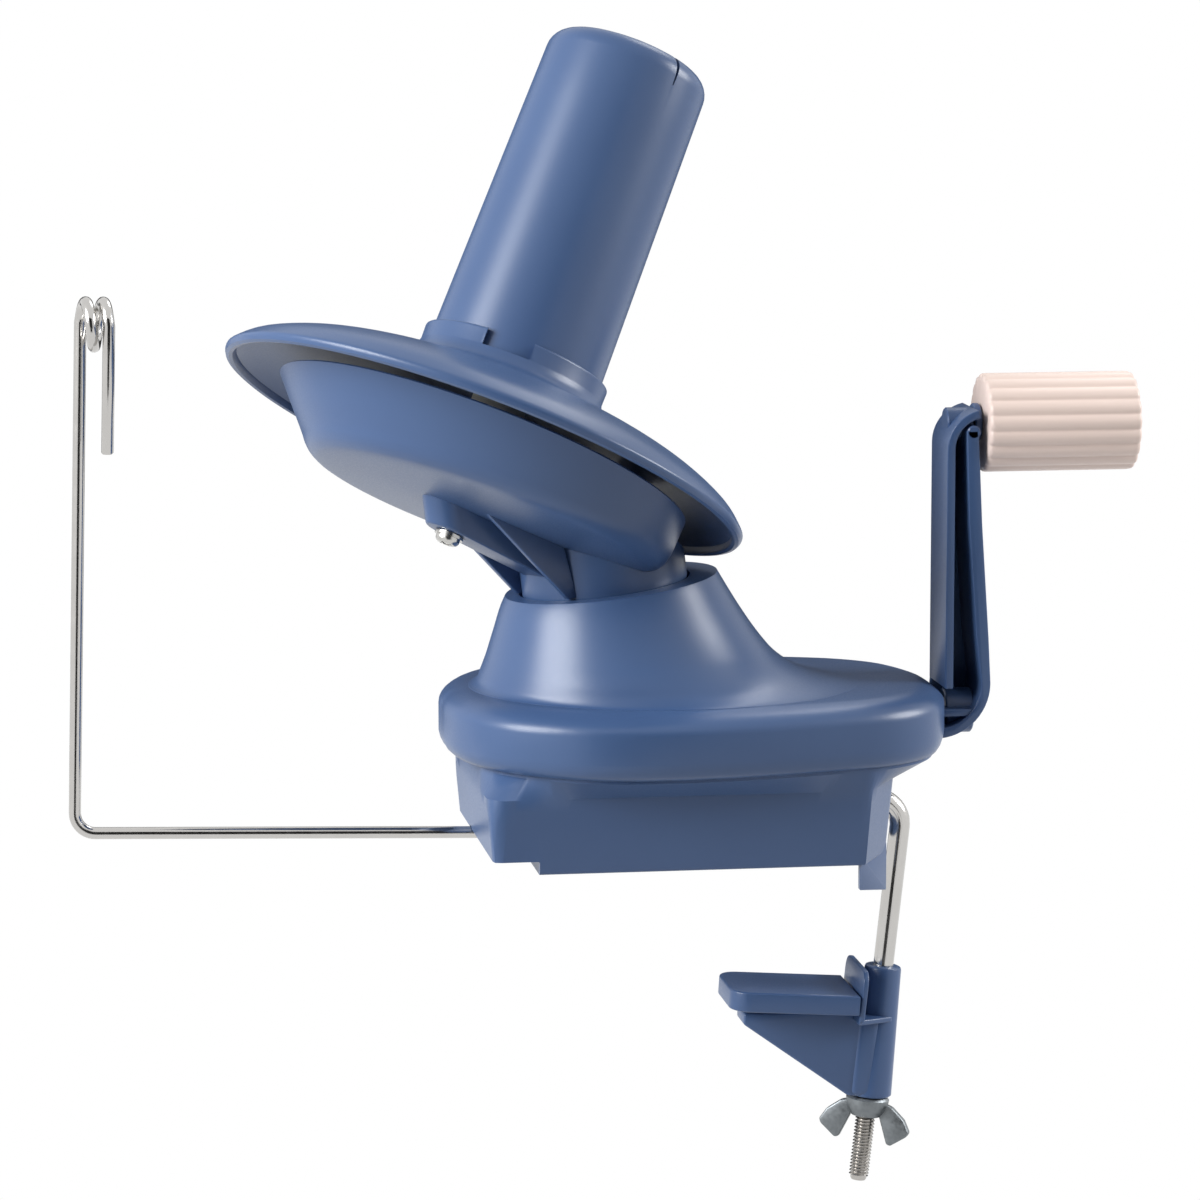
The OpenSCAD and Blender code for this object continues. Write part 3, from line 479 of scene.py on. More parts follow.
def bridged(bm, rings):
    """Join each ring to the next."""
    for low, high in zip(rings, rings[1:]):
        bmesh.ops.bridge_loops(bm, edges=low + high)


def bowl_rings(bm, inset, lift):
    """Rings of the bowl's outside, or of its inside at a wall's inset."""
    rings = []
    for level, less, shift in eased(BOWL_LEVELS, 4):
        raised = level + lift * min(1, max(0, -level / BOWL_WALL))
        slope = BOWL_SLOPE * min(1, max(0, -level / FULL_SLOPE_AT))
        rings.append(ring_at(bm, BOWL_R - less - inset, (shift, 0, raised), slope))
    return rings


def capped(bm, *ends):
    """Close some rings with flat faces."""
    for end in ends:
        bmesh.ops.contextual_create(bm, geom=end)


bowl = bmesh.new()
outer = bowl_rings(bowl, 0, 0)
inner = bowl_rings(bowl, BOWL_WALL, BOWL_WALL)
lip = [ring_at(bowl, r, (0, 0, LIP_Z)) for r in (BOWL_R - 0.5, BOWL_R - BOWL_WALL + 0.4)]
bridged(bowl, outer[::-1] + lip + inner)
capped(bowl, outer[-1], inner[-1])
finish_piece(bowl, "swing_bowl", "neck", DENIM_ABS, SPOOL, ["swing_head"])

# %% [markdown]
# ## The neck, the fins and the boss
# The neck is a tube that turns on the leaning post. Its top is hidden in the bowl, so it is spun too
# long and cut off by the bowl's own plane. Two thin fins brace the bowl, and a boss with a web takes
# the end of the spool's axle. They stay islands beside the bowl, as they run into its wall.

# %% Neck
NECK_R = 24
NECK_FOOT = 71.78
NECK_END = 118
NECK_TRIM = -2
HUB_IN = 5.6
HUB_OUT = 8
HUB_END = 90
neck_floor = NECK_FOOT + 3
neck = spun([(HUB_IN, NECK_FOOT), (NECK_R - 0.5, NECK_FOOT), (NECK_R, NECK_FOOT + 0.5),
             (NECK_R, NECK_END), (NECK_R - SKIN, NECK_END), (NECK_R - SKIN, neck_floor),
             (HUB_OUT, neck_floor), (HUB_OUT, HUB_END), (HUB_IN, HUB_END), (HUB_IN, NECK_FOOT)], 96)
to_head = HEAD.inverted() @ SPOOL
trim_point = (to_head @ Vector((0, 0, NECK_TRIM * MM))) / MM
trim_normal = (to_head.to_3x3() @ Vector((0, 0, 1))).normalized()


def cut_off(bm, point, normal):
    """Cut away what lies beyond a plane, and give the new rim's edges."""
    cut = bmesh.ops.bisect_plane(bm, geom=everything(bm), plane_co=point, plane_no=normal,
                                 clear_outer=True)
    return edges_of(cut["geom_cut"])


bmesh.ops.edgenet_fill(neck, edges=cut_off(neck, trim_point, trim_normal))
finish_piece(neck, "swing_neck", "neck", DENIM_ABS, HEAD)

# %% Fins
FIN_Y = 13
FIN_T = 2
FIN_FOOT_X = -22.2
FIN_GAP = 1.2
FIN_SUNK = 1


def bowl_point(x, w):
    """Point in the swing frame's XZ plane from the spool's own x and height."""
    tilt, drop = radians(SPOOL_TILT), RIM_DROP - w
    return (x * cos(tilt) - drop * sin(tilt), CROSS_H - drop * cos(tilt) - x * sin(tilt))


neck_side = FIN_SUNK - sqrt(NECK_R ** 2 - FIN_Y ** 2)
fin_foot_z = RING_H + FIN_GAP
fin_outline = [(neck_side, fin_foot_z), (FIN_FOOT_X, fin_foot_z),
               bowl_point(-2, -18), bowl_point(28, -16.8)]
fins = bmesh.new()
for y in (-FIN_Y, FIN_Y):
    join(fins, shifted(slab(fin_outline, FIN_T, 0.35), place_mm(0, y, 0)))
finish_piece(fins, "swing_fins", "neck", DENIM_ABS, SWING)

# %% Axle boss
# The boss and its web are drawn out of the mould along the neck, and end square to the spool's axle.
BOSS_R = 6.4
BOSS_END = -26
BOSS_TOP = -17.3
BOSS_SPARE = 30
WEB_END = -19
WEB_HALF = BOSS_R - 0.6
boss_x, boss_z = bowl_point(0, BOSS_END)
boss_plan = fillet((boss_x, 0), BOSS_R, 90, 270, 16) + [(WEB_END, -WEB_HALF), (WEB_END, WEB_HALF)]
boss = prism([(x, y, boss_z - BOSS_SPARE) for x, y in boss_plan], (0, 0, 2 * BOSS_SPARE))
axle_up = Vector((sin(radians(SPOOL_TILT)), 0, cos(radians(SPOOL_TILT))))
ends = []
for level, side in ((BOSS_END, -1), (BOSS_TOP, 1)):
    x, z = bowl_point(0, level)
    rim = cut_off(boss, (x, 0, z), axle_up * side)
    bmesh.ops.edgenet_fill(boss, edges=rim)
    ends.append(rim)
bmesh.ops.recalc_face_normals(boss, faces=boss.faces)
soften(boss, [edge for edge in ends[0] if edge.is_valid], 0.6, 4)
finish_piece(boss, "axle_boss", "neck", DENIM_ABS, SWING)

# %% [markdown]
# ## The axle screw
# A pan-head screw with a cross recess closes the spool's axle under the boss. The head is spun and
# the cross is carved with two thin blocks.

# %% Axle screw
HEAD_R = 3.5
HEAD_TOP = BOSS_END - 1.1
HEAD_END = HEAD_TOP - 2.2
HEAD_ROUND = 1.4
screw = spun([(0, HEAD_TOP), (HEAD_R, HEAD_TOP)]
             + fillet((HEAD_R - HEAD_ROUND, HEAD_END + HEAD_ROUND + 0.1), HEAD_ROUND, 0, -70, 5)
             + [(1.2, HEAD_END + 0.04), (0, HEAD_END)], 48)
for spot in (20, 110):
    cutter = block((4.2, 0.9, 2.6), (0, 0, HEAD_END - 0.3), 0.15)
    screw = carve(screw, shifted(cutter, turn(spot, "Z")))
finish_piece(screw, "axle_screw_head", "spool", SCREW_STEEL, SPOOL, ["axle_screw"])

# %% [markdown]
# ## The outlines of the case and its cover
# The case is a box whose right end narrows, and the cover is a drop-shaped plate. Both outlines go
# round one centre, so a ring of points can be pushed out along its rays to either of them. Rings with
# the same number of points are easy to bridge.

# %% Outlines
CASE = {"left": -48.8, "right": 71.2, "half": 42.3, "corner_r": 3.5, "shoulder": 61, "nose": 23}
# One side of the cover, from the middle of its left end to the middle of its right end
COVER_SIDE = [(-57, 0), (-57, 8), (-54.7, 21), (-48.9, 34.3), (-38.6, 45.8), (-22, 55.2), (-2, 58.2),
              (25, 55.6), (53, 49), (70, 42), (82, 30.5), (88, 14.5), (89, 5), (89, 0)]
FADE_RUN = 70
cover_half = eased(COVER_SIDE, 5)
cover_loop = cover_half + [(x, -y) for x, y in cover_half[-2:0:-1]]


def mirrored(points):
    """Close an outline whose other side is the same."""
    return points + [(x, -y) for x, y in points[::-1]]


def case_outline(inset, softer=0.0):
    """Round left corners, and a right end that narrows from the shoulders to the nose."""
    left, half = CASE["left"] + inset, CASE["half"] - inset
    r = CASE["corner_r"] - min(inset, 2) + softer
    run, fall = CASE["right"] - CASE["shoulder"], CASE["half"] - CASE["nose"]
    shoulder = CASE["shoulder"] - inset * (hypot(run, fall) - run) / fall
    nose = CASE["nose"] - inset * (hypot(run, fall) - fall) / run
    corner = fillet((left + r, half - r), r, 180, 90, 8)
    return mirrored(corner + [(shoulder, half), (CASE["right"] - inset, nose)])


def cover_outline(inset, fade=0.0):
    """Cover's outline moved in, by less at the right end when there is a fade."""
    points = []
    befores, afters = cover_loop[-1:] + cover_loop, cover_loop[1:] + cover_loop[:1]
    for before, here, after in zip(befores, cover_loop, afters):
        along = Vector((after[0] - before[0], after[1] - before[1])).normalized()
        share = 1 - fade * min(1, max(-0.5, here[0] / FADE_RUN))
        points.append((here[0] + along.y * inset * share, here[1] - along.x * inset * share))
    return points


print("the case's outline has", len(case_outline(0)), "points, the cover's", len(cover_outline(0)))

# %% Rings pushed out to an outline
RAYS = 288
RAY_CENTRE = (16, 0)


def ray_reach(ux, uy, points):
    """Distance from the centre to a closed outline along one ray."""
    reach = 0.0
    for a, b in zip(points, points[1:] + points[:1]):
        ax, ay, ex, ey = a[0] - RAY_CENTRE[0], a[1] - RAY_CENTRE[1], b[0] - a[0], b[1] - a[1]
        across = ux * ey - uy * ex
        if abs(across) > 1e-9 and -1e-6 <= (ax * uy - ay * ux) / across <= 1 + 1e-6:
            reach = max(reach, (ax * ey - ay * ex) / across)
    return reach


def outline_ring(bm, points, z, least_x=-200):
    """Circle whose points are pushed out along their rays to an outline."""
    made = bmesh.ops.create_circle(bm, cap_ends=False, radius=1, segments=RAYS)
    for vert in made["verts"]:
        reach = ray_reach(vert.co.x, vert.co.y, points)
        x, y = RAY_CENTRE[0] + vert.co.x * reach, RAY_CENTRE[1] + vert.co.y * reach
        vert.co = (max(least_x, x), y, z)
    return ring_edges(made["verts"])


# %% [markdown]
# ## The lower case
# The case has a little draft, so that it leaves its mould, and it flares out to meet the cover. A
# strip along its left end is raised, and a groove there takes the wire. Both are carved. The lips that
# catch the table's edge are hulls of a few points.

# %% Lower case
CASE_H = 22
DRAFT = 2.0
SEAM_Z = 28.8
COVER_LIP = 3.8
LIP_FADE = 0.3
# Inset, height and softer corner of each ring, from the rounded foot up
CASE_LEVELS = [(0.9, 0, 0), (0.35, 0.2, 0), (0.08, 0.6, 0), (0, 1.1, 0), (0, 15, 0), (0, 18.5, 0.8),
               (0, CASE_H, 3)]
STRIP_END, STRIP_Z = -34, 4
STRIP_CUT = (60, 120, 40)
GROOVE_R = 2.15
case = bmesh.new()
rings = [outline_ring(case, case_outline(inset + DRAFT * (1 - z / CASE_H), softer), z)
         for inset, z, softer in CASE_LEVELS]
rings += [outline_ring(case, cover_outline(COVER_LIP + 0.5, LIP_FADE), z, CASE["left"] + 0.2)
          for z in (SEAM_Z - 0.9, SEAM_Z)]
bridged(case, rings)
capped(case, rings[0], rings[-1])
strip_at = (STRIP_END - STRIP_CUT[0] / 2, 0, STRIP_Z - STRIP_CUT[2] / 2)
case = carve(case, block(STRIP_CUT, strip_at, 0.5))
wire_groove = shifted(pin(GROOVE_R, 40, 32), place_mm(*GUIDE_FOOT) @ turn(GUIDE_TILT + 90, "Y"))
case = carve(case, wire_groove)
# Two lips under the splayed end catch the table's edge
LIP_ENDS = [(58.4, 39.6, -7.3), (58.4, 36.6, -7.3), (69.6, 22.5, -11), (69.6, 19.5, -11)]
for side in (-1, 1):
    lip = bmesh.new()
    for x, y, low in LIP_ENDS:
        for z in (low, 3):
            lip.verts.new((x, side * y, z))
    bmesh.ops.convex_hull(lip, input=lip.verts[:])
    soften(lip, lip.edges[:], 0.3, 2)
    join(case, lip)
finish_piece(case, "lower_case_shell", "base", DENIM_ABS, UPRIGHT, ["lower_case"])

# %% [markdown]
# ## The cover and its cone
# The cover is a plate with soft edges that screws down on the case. Its cone carries the neck, and is
# steep at the left and runs out in a wide hollow foot at the right. It is a stack of shifted ovals that
# is cut square to the leaning neck, with a hole for the neck and a rounded rim.

# %% Cover plate
COVER_TOP = 47.8
ROUND_IN, ROUND_DOWN = 10, 6
cover = bmesh.new()
LOWER_LIP = [(COVER_LIP, 0), (2.3, 0.6), (1.1, 1.9), (0.35, 3.6), (0, 5.4)]
rings = [outline_ring(cover, cover_outline(inset, LIP_FADE), SEAM_Z + z) for inset, z in LOWER_LIP]
rings += [outline_ring(cover, cover_outline(ROUND_IN * (1 - x)), COVER_TOP - ROUND_DOWN * (1 - z))
          for x, z in fillet((0, 0), 1, 0, 90, 9)]
bridged(cover, rings)
capped(cover, rings[0], rings[-1])
print("cover plate", len(cover.faces), "faces")

# %% Cone
CONE_SUNK = 4
CONE_TOP = RING_H + 0.7
CONE_SIDES = 128
NECK_GAP = 0.9
# Height, half width, shift and half depth of the ovals, from the sunk foot up
CONE_LEVELS = [(COVER_TOP - CONE_SUNK, 57, 8, 48.5), (COVER_TOP + 0.05, 57, 8, 48.5),
               (48.3, 54.5, 6.6, 47.7), (49.4, 50.9, 4.3, 46.6), (51, 47.8, 1.9, 45.3), (53.5, 44.7, -0.2, 43.9),
               (56.5, 42.1, -1.7, 42.1), (59.5, 40.2, -2.7, 40.2), (64.5, 37.5, -3.9, 37.5),
               (71, 34.3, -5.1, 34.3), (78, 30.5, -5.6, 30.5), (86, 26.3, -6.1, 26.3)]
cone = bmesh.new()
rings = [ring_at(cone, r, (shift, 0, z), segments=CONE_SIDES, depth=depth / r)
         for z, r, shift, depth in CONE_LEVELS[:1] + eased(CONE_LEVELS[1:], 3)]
bridged(cone, rings)
head_up = Vector((-sin(radians(HEAD_TILT)), 0, cos(radians(HEAD_TILT))))
rim = cut_off(cone, head_up * CONE_TOP, head_up)
made = bmesh.ops.create_circle(cone, cap_ends=False, radius=NECK_R + NECK_GAP, segments=CONE_SIDES)
bmesh.ops.transform(cone, matrix=turn(-HEAD_TILT, "Y") @ place_mm(0, 0, CONE_TOP), verts=made["verts"])
hole = ring_edges(made["verts"])
bmesh.ops.bridge_loops(cone, edges=rim + hole)
# The hole runs down along the neck to the level of the cone's foot
grown = bmesh.ops.extrude_edge_only(cone, edges=hole)["geom"]
for vert in verts_of(grown):
    vert.co -= head_up * ((vert.co.z - COVER_TOP + CONE_SUNK) / head_up.z)
bmesh.ops.bridge_loops(cone, edges=edges_of(grown) + rings[0])
soften(cone, rim, 2.4, 6, clamp=True)
cover = join(cover, cone)
finish_piece(cover, "upper_cover_shell", "base", DENIM_ABS, UPRIGHT, ["upper_cover"])

# %% [markdown]
# ## The crank
# The arm is a moulded channel, open to the front: a back plate with a wall down its left and over
# the top, and a thicker wall down its right and round the foot. The gap between the two walls shows
# the knob's boss. Each is drawn as a side outline and given its depth.

# %% Crank arm
ARM_D = 22
ARM_WALL = 2.4
ARM_BACK = 2.5
ARM_LEFT = {"x": 89.0, "low": 45.5}
ARM_CORNER = {"at": (100.5, 115.5), "r": 11.5}
ARM_FOOT = {"at": (86.6, 46.8), "r": 15.9}
ARM_MIDDLE = Vector((95, 0, 80))
ARM_SOFT = 0.4
corner_out = fillet(ARM_CORNER["at"], ARM_CORNER["r"], 180, 101, 10)
corner_in = fillet(ARM_CORNER["at"], ARM_CORNER["r"] - ARM_WALL, 101, 180, 10)
left_wall = ([(ARM_LEFT["x"], ARM_LEFT["low"])] + corner_out + corner_in
             + [(ARM_LEFT["x"] + ARM_WALL, ARM_LEFT["low"])])
right_out = [(98.2, 121), (99.5, 93.7), (101.8, 60)] + fillet(ARM_FOOT["at"], ARM_FOOT["r"], 0, -86, 14)
right_in = (fillet(ARM_FOOT["at"], ARM_FOOT["r"] - ARM_WALL - 0.4, -86, 0, 14)
            + [(98.1, 60), (95.6, 93.7), (94.6, 121)])
arm = slab(left_wall, ARM_D, ARM_SOFT)
# A counterbore through the right wall lets the crank screw in
COUNTERBORE_R = 3.8
counterbore = shifted(pin(COUNTERBORE_R, 24, 48), place_mm(110, 0, CRANK_Z) @ turn(90, "Y"))
join(arm, carve(slab(right_out + right_in, ARM_D, ARM_SOFT), counterbore))
# The plate is a hair smaller than the walls and stands a hair behind them, so no two faces coincide
BACK_GAP = 0.08
back = slab([(ARM_LEFT["x"], ARM_LEFT["low"])] + corner_out + right_out, ARM_BACK, ARM_SOFT)
bmesh.ops.scale(back, vec=(0.99, 1, 0.999), space=Matrix.Translation(-ARM_MIDDLE), verts=back.verts)
join(arm, shifted(back, place_mm(0, (ARM_D - ARM_BACK) / 2 + BACK_GAP, 0)))
print("arm's channel", len(arm.faces), "faces")

# %% Crank hubs, bead and rib
# Radius, start, length and height of the shaft's hub, the pin's hub and the knob's boss
HUBS = [(6.6, 90.4, 8.4, CRANK_Z), (4.6, 90.4, 8, KNOB_Z), (5.75, 98.4, 2.1, KNOB_Z)]
BEAD_R = 2


def soft_bar(r, low, high, steps):
    """Round bar about Z with eased ends."""
    return spun([(0, low), (r - ARM_SOFT, low), (r, low + ARM_SOFT), (r, high - ARM_SOFT),
                 (r - ARM_SOFT, high), (0, high)], steps)


for r, x, length, z in HUBS:
    join(arm, shifted(soft_bar(r, 0, length, 48), place_mm(x, 0, z) @ turn(90, "Y")))
bead = soft_bar(BEAD_R, -ARM_D / 2, ARM_D / 2, 32)
join(arm, shifted(bead, place_mm(96.8, 0, 120.4) @ turn(90, "X")))
join(arm, block((9.5, ARM_D - ARM_BACK, 2.2), (92.8, -0.6, 38.3), ARM_SOFT))
finish_piece(arm, "crank_arm_channel", "crank", DENIM_ABS, UPRIGHT, ["crank_arm"],
             angle=38)

# %% [markdown]
# ## The knob
# The knob is fluted all round so that it can be held lightly while it spins. A circle is pushed in
# and out to make the flutes, and copies of it at a few heights give the length and the soft ends.

# %% Fluted knob
KNOB_R = 14.4
KNOB_L = 45
RIDGES = 19
RIDGE_R = 3.0
RIDGE_POINTS = 14
FLUTE_DEPTH = 1


def flute_radius(angle):
    """Distance from the axis to the outside of the ridges."""
    half = pi / RIDGES
    a = (angle + half) % (2 * half) - half
    centre = KNOB_R - RIDGE_R
    reach = RIDGE_R ** 2 - (centre * sin(a)) ** 2
    return max(KNOB_R - FLUTE_DEPTH, centre * cos(a) + sqrt(max(0.0, reach)))


def flute_ring(bm, inset, z):
    made = bmesh.ops.create_circle(bm, cap_ends=False, radius=1, segments=RIDGES * RIDGE_POINTS)
    for vert in made["verts"]:
        r = flute_radius(atan2(vert.co.y, vert.co.x)) - inset
        vert.co = (vert.co.x * r, vert.co.y * r, z)
    return ring_edges(made["verts"])


knob = bmesh.new()
ends = [(1.3, 0), (0.5, 0.25), (0.12, 0.75), (0, 1.4)]
rings = [flute_ring(knob, inset, z) for inset, z in ends]
rings += [flute_ring(knob, 0, KNOB_L / 2)]
rings += [flute_ring(knob, inset, KNOB_L - z) for inset, z in ends[::-1]]
bridged(knob, rings)
capped(knob, rings[0], rings[-1])
finish_piece(knob, "fluted_knob", "knob", PINK_ABS, KNOB, ["knob_grip", "knob_cap"],
             angle=40)

# %% [markdown]
# ## The clamp
# A bent rod hangs from the case. A jaw slides on it and a wing nut on the M6 thread draws the jaw up
# under the table. The rod is a ring that is extruded and spun on. The thread is a short zigzag that is
# spun and raised by one pitch a turn.

# %% Sweep a ring


def sweep_start(bm, r, segments=32):
    made = bmesh.ops.create_circle(bm, cap_ends=False, radius=r, segments=segments)
    return made["verts"], ring_edges(made["verts"])


def sweep_on(bm, verts, edges, vec):
    """Extrude a ring along a straight run and give the new ring."""
    grown = bmesh.ops.extrude_edge_only(bm, edges=edges)["geom"]
    bmesh.ops.translate(bm, vec=vec, verts=verts_of(grown))
    return verts_of(grown), edges_of(grown)


def sweep_round(bm, verts, edges, cent, axis, angle, steps, rise=(0, 0, 0)):
    """Spin a ring round a bend and give its last ring."""
    made = bmesh.ops.spin(bm, geom=verts + edges, cent=cent, axis=axis, angle=radians(angle), steps=steps,
                          dvec=[value / steps for value in rise])
    return verts_of(made["geom_last"]), edges_of(made["geom_last"])


# %% Clamp rod
ROD_R = 3
ROD_BEND = 8
ROD_LEG = 34
ROD_LEG_Z = 11
THREAD_TOP = -45
bend_z = ROD_LEG_Z - ROD_BEND
rod = bmesh.new()
verts, edges = sweep_start(rod, ROD_R)
bmesh.ops.translate(rod, vec=(0, 0, THREAD_TOP), verts=verts)
verts, edges = sweep_on(rod, verts, edges, (0, 0, bend_z - THREAD_TOP))
verts, edges = sweep_round(rod, verts, edges, (-ROD_BEND, 0, bend_z), (0, -1, 0), 90, 14)
verts, edges = sweep_on(rod, verts, edges, (-ROD_LEG, 0, 0))
capped(rod, edges)
finish_piece(rod, "clamp_rod_bar", "base", NICKEL, ROD, ["clamp_rod"], angle=40)

# %% Rod thread
ROD_DROP = 103.5
CORE_R = 2.4
PITCH = 1.0
STEPS = 20
core_top = THREAD_TOP + 1
thread = spun([(0, -ROD_DROP), (CORE_R - 0.3, -ROD_DROP), (CORE_R, -ROD_DROP + 0.5), (CORE_R, core_top),
               (0, core_top)], 32)
turns = int((ROD_DROP + THREAD_TOP - 0.8) / PITCH)
zigzag = [thread.verts.new((r, 0, -ROD_DROP + 0.6 + PITCH * k / 4))
          for k, r in enumerate((2.3, 2.5, ROD_R - 0.04, 2.7, 2.3))]
strip = [thread.edges.new(pair) for pair in zip(zigzag, zigzag[1:])]
bmesh.ops.spin(thread, geom=zigzag + strip, cent=(0, 0, 0), axis=(0, 0, 1), angle=2 * pi * turns,
               steps=STEPS * turns, dvec=(0, 0, PITCH / STEPS))
print(turns, "turns of thread")
# The thread wears the darker steel, which is painted shade for its grooves.
finish_piece(thread, "clamp_rod_thread", "base", SHADE_DARKENED_THREAD_STEEL, ROD, angle=40)

# %% [markdown]
# ## The jaw
# The jaw is one moulding: a sleeve that slides on the rod, a column and a flange beside it, a guard
# behind the pad and a gusset under it. Each is a simple solid with soft edges. They overlap as the walls
# of a moulding do, so they stay islands of one mesh, and only the rod's hole is carved.

# %% Jaw sleeve, column and flange
BORE_R = 3.06
SLEEVE_R = {"foot": 6.8, "top": 5.4}
SLEEVE_FOOT, SLEEVE_TOP = -77.5, -38.5
COLUMN_X = -7.2
PAD_X = -8.3
SHELF_Z = -53.2
foot_r, top_r = SLEEVE_R["foot"], SLEEVE_R["top"]
jaw = spun([(BORE_R, SLEEVE_FOOT), (foot_r - 0.5, SLEEVE_FOOT), (foot_r, SLEEVE_FOOT + 0.5),
            (top_r, SLEEVE_TOP - 0.8), (top_r - 0.25, SLEEVE_TOP - 0.25), (top_r - 0.8, SLEEVE_TOP),
            (BORE_R, SLEEVE_TOP), (BORE_R, SLEEVE_FOOT)], 64)


def bored(bm):
    """Cut the rod's hole through a part of the jaw."""
    return carve(bm, shifted(pin(BORE_R, 60, 64), place_mm(0, 0, -60)))


column_h = SHELF_Z - SLEEVE_FOOT
column_at = (COLUMN_X / 2, 0, SHELF_Z - column_h / 2)
join(jaw, bored(block((-COLUMN_X, 2 * foot_r - 0.6, column_h), column_at, 2.2, 5)))
flange_outline = [(PAD_X, -14), (PAD_X, 14), (3, top_r), (5.5, 2), (5.5, -2), (3, -top_r)]
flange = shifted(slab(flange_outline, 1.6, 0.4), place_mm(0, 0, SHELF_Z - 0.4) @ turn(90, "X"))
join(jaw, bored(flange))
print("jaw's sleeve, column and flange", len(jaw.faces), "faces")

# %% Jaw guard and gusset
THROAT = 45.4
PAD_T = 6
GUARD_HALF, GUARD_TOP = 13.8, -38.4
GUARD_T = 1.6
GUARD_CORNER = 4
seat = -THROAT - PAD_T
guard_foot = seat - 2
guard_round = fillet((GUARD_HALF - GUARD_CORNER, GUARD_TOP - GUARD_CORNER), GUARD_CORNER, 0, 90, 6)
guard_outline = ([(GUARD_HALF, guard_foot)] + guard_round + [(-y, z) for y, z in guard_round[::-1]]
                 + [(-GUARD_HALF, guard_foot)])
guard = slab(guard_outline, GUARD_T, 0.4)
join(jaw, shifted(guard, place_mm(PAD_X + GUARD_T / 2) @ turn(90, "Z")))
gusset_foot = SLEEVE_FOOT + 0.3
gusset_outline = [(-41, -55), (-5, -51.6), (-5, gusset_foot), (-7.4, gusset_foot), (-40.8, -58.3)]
join(jaw, slab(gusset_outline, 12, 0.6))
finish_piece(jaw, "clamp_jaw_body", "jaw", DENIM_ABS, ROD, ["clamp_jaw"])

# %% [markdown]
# ## The jaw's pad
# The pad presses up under the table. It is a plate with round outer corners and soft edges, and it
# droops a little towards its free end, as in the photograph.

# %% Jaw pad
PAD_L = 38.5
PAD_W = 29
PAD_CORNER = 6
DROOP = -2.4
corners = (fillet((PAD_CORNER, PAD_CORNER), PAD_CORNER, 270, 180, 8)
           + fillet((PAD_CORNER, PAD_W - PAD_CORNER), PAD_CORNER, 180, 90, 8)
           + [(PAD_L - 0.6, PAD_W), (PAD_L - 0.6, 0)])
pad = prism([(PAD_X - PAD_L + x, y - PAD_W / 2, seat) for x, y in corners], (0, 0, PAD_T))
level = [edge for edge in pad.edges if abs(edge.verts[0].co.z - edge.verts[1].co.z) < 0.01]
soften(pad, level, 0.7, 4)
shifted(pad, place_mm(PAD_X, 0, -THROAT) @ turn(DROOP, "Y") @ place_mm(-PAD_X, 0, THROAT))
finish_piece(pad, "jaw_pad_block", "jaw", DENIM_ABS, ROD, ["jaw_pad"])

# %% [markdown]
# ## The wing nut
# The nut is a small zinc casting. Its body is spun, and its two wings are plates with soft edges that
# stand across it and point down.

# %% Wing nut
NUT_Z = SLEEVE_FOOT - 0.5
WING_TURN = -25
WING_T = 2.8
nut = spun([(BORE_R, 0), (5.8, 0), (6.4, -0.7), (6.3, -2), (5.9, -3.6), (5.2, -5), (4.4, -5.9),
            (BORE_R, -6), (BORE_R, 0)], 48)
wing_outline = [(4, -5), (4.6, -1.4), (7.8, -2.4), (11.8, -5.7), (13.7, -9.1), (13.1, -10.4),
                (8.5, -13.9), (7.3, -13.5), (5, -7.6)]
for spot in (WING_TURN, WING_TURN + 180):
    join(nut, shifted(slab(wing_outline, WING_T, 0.55), turn(spot, "Z")))
shifted(nut, place_mm(0, 0, NUT_Z))
finish_piece(nut, "wing_nut_casting", "nut", ZINC, ROD, ["wing_nut"], angle=40)

# %% [markdown]
# ## The yarn guide
# One length of bright wire runs out of the case, turns up and ends in a pigtail that the yarn slips
# into. A ring is extruded along each straight run and spun round each bend. The pigtail is a spin
# that also moves along its axis.

# %% Yarn guide
WIRE_R = 1.75
REACH = 116.5
BEND = 6
EYE_H = 148
EYE_R = 6.2
EYE_PITCH = 5.0
FREE_LEG = 36.5
INNER_END = 29
TIP_SPARE, TIP_H, TIP_SHRINK = 0.7, 0.5, 0.75
wire = bmesh.new()
verts, edges = sweep_start(wire, WIRE_R, 24)
bmesh.ops.rotate(wire, cent=(0, 0, 0), matrix=Matrix.Rotation(radians(90), 3, "Y"), verts=verts)
bmesh.ops.translate(wire, vec=(INNER_END, 0, 0), verts=verts)
capped(wire, edges)
verts, edges = sweep_on(wire, verts, edges, (-INNER_END - REACH + BEND, 0, 0))
verts, edges = sweep_round(wire, verts, edges, (BEND - REACH, 0, BEND), (0, 1, 0), 90, 12)
verts, edges = sweep_on(wire, verts, edges, (0, 0, EYE_H - BEND))
verts, edges = sweep_round(wire, verts, edges, (-REACH, -EYE_R, EYE_H), (1, 0, 0), 540, 72,
                           (1.5 * EYE_PITCH, 0, 0))
verts, edges = sweep_on(wire, verts, edges, (0, 0, TIP_SPARE - FREE_LEG))
verts, edges = sweep_on(wire, verts, edges, (0, 0, -TIP_H))
middle = sum((vert.co for vert in verts), Vector()) / len(verts)
bmesh.ops.scale(wire, vec=(TIP_SHRINK, TIP_SHRINK, 1), space=Matrix.Translation(-middle), verts=verts)
capped(wire, edges)
finish_piece(wire, "yarn_guide_wire", "guide", NICKEL, GUIDE, ["yarn_guide"], angle=45)

# %% [markdown]
# ## Floor and world
# The photograph is a product picture on plain white. The floor and the world are pure white to the
# camera and in reflections, and to all other rays they are a plain dim grey, so that they don't wash
# out the colours.

# %% White to the camera


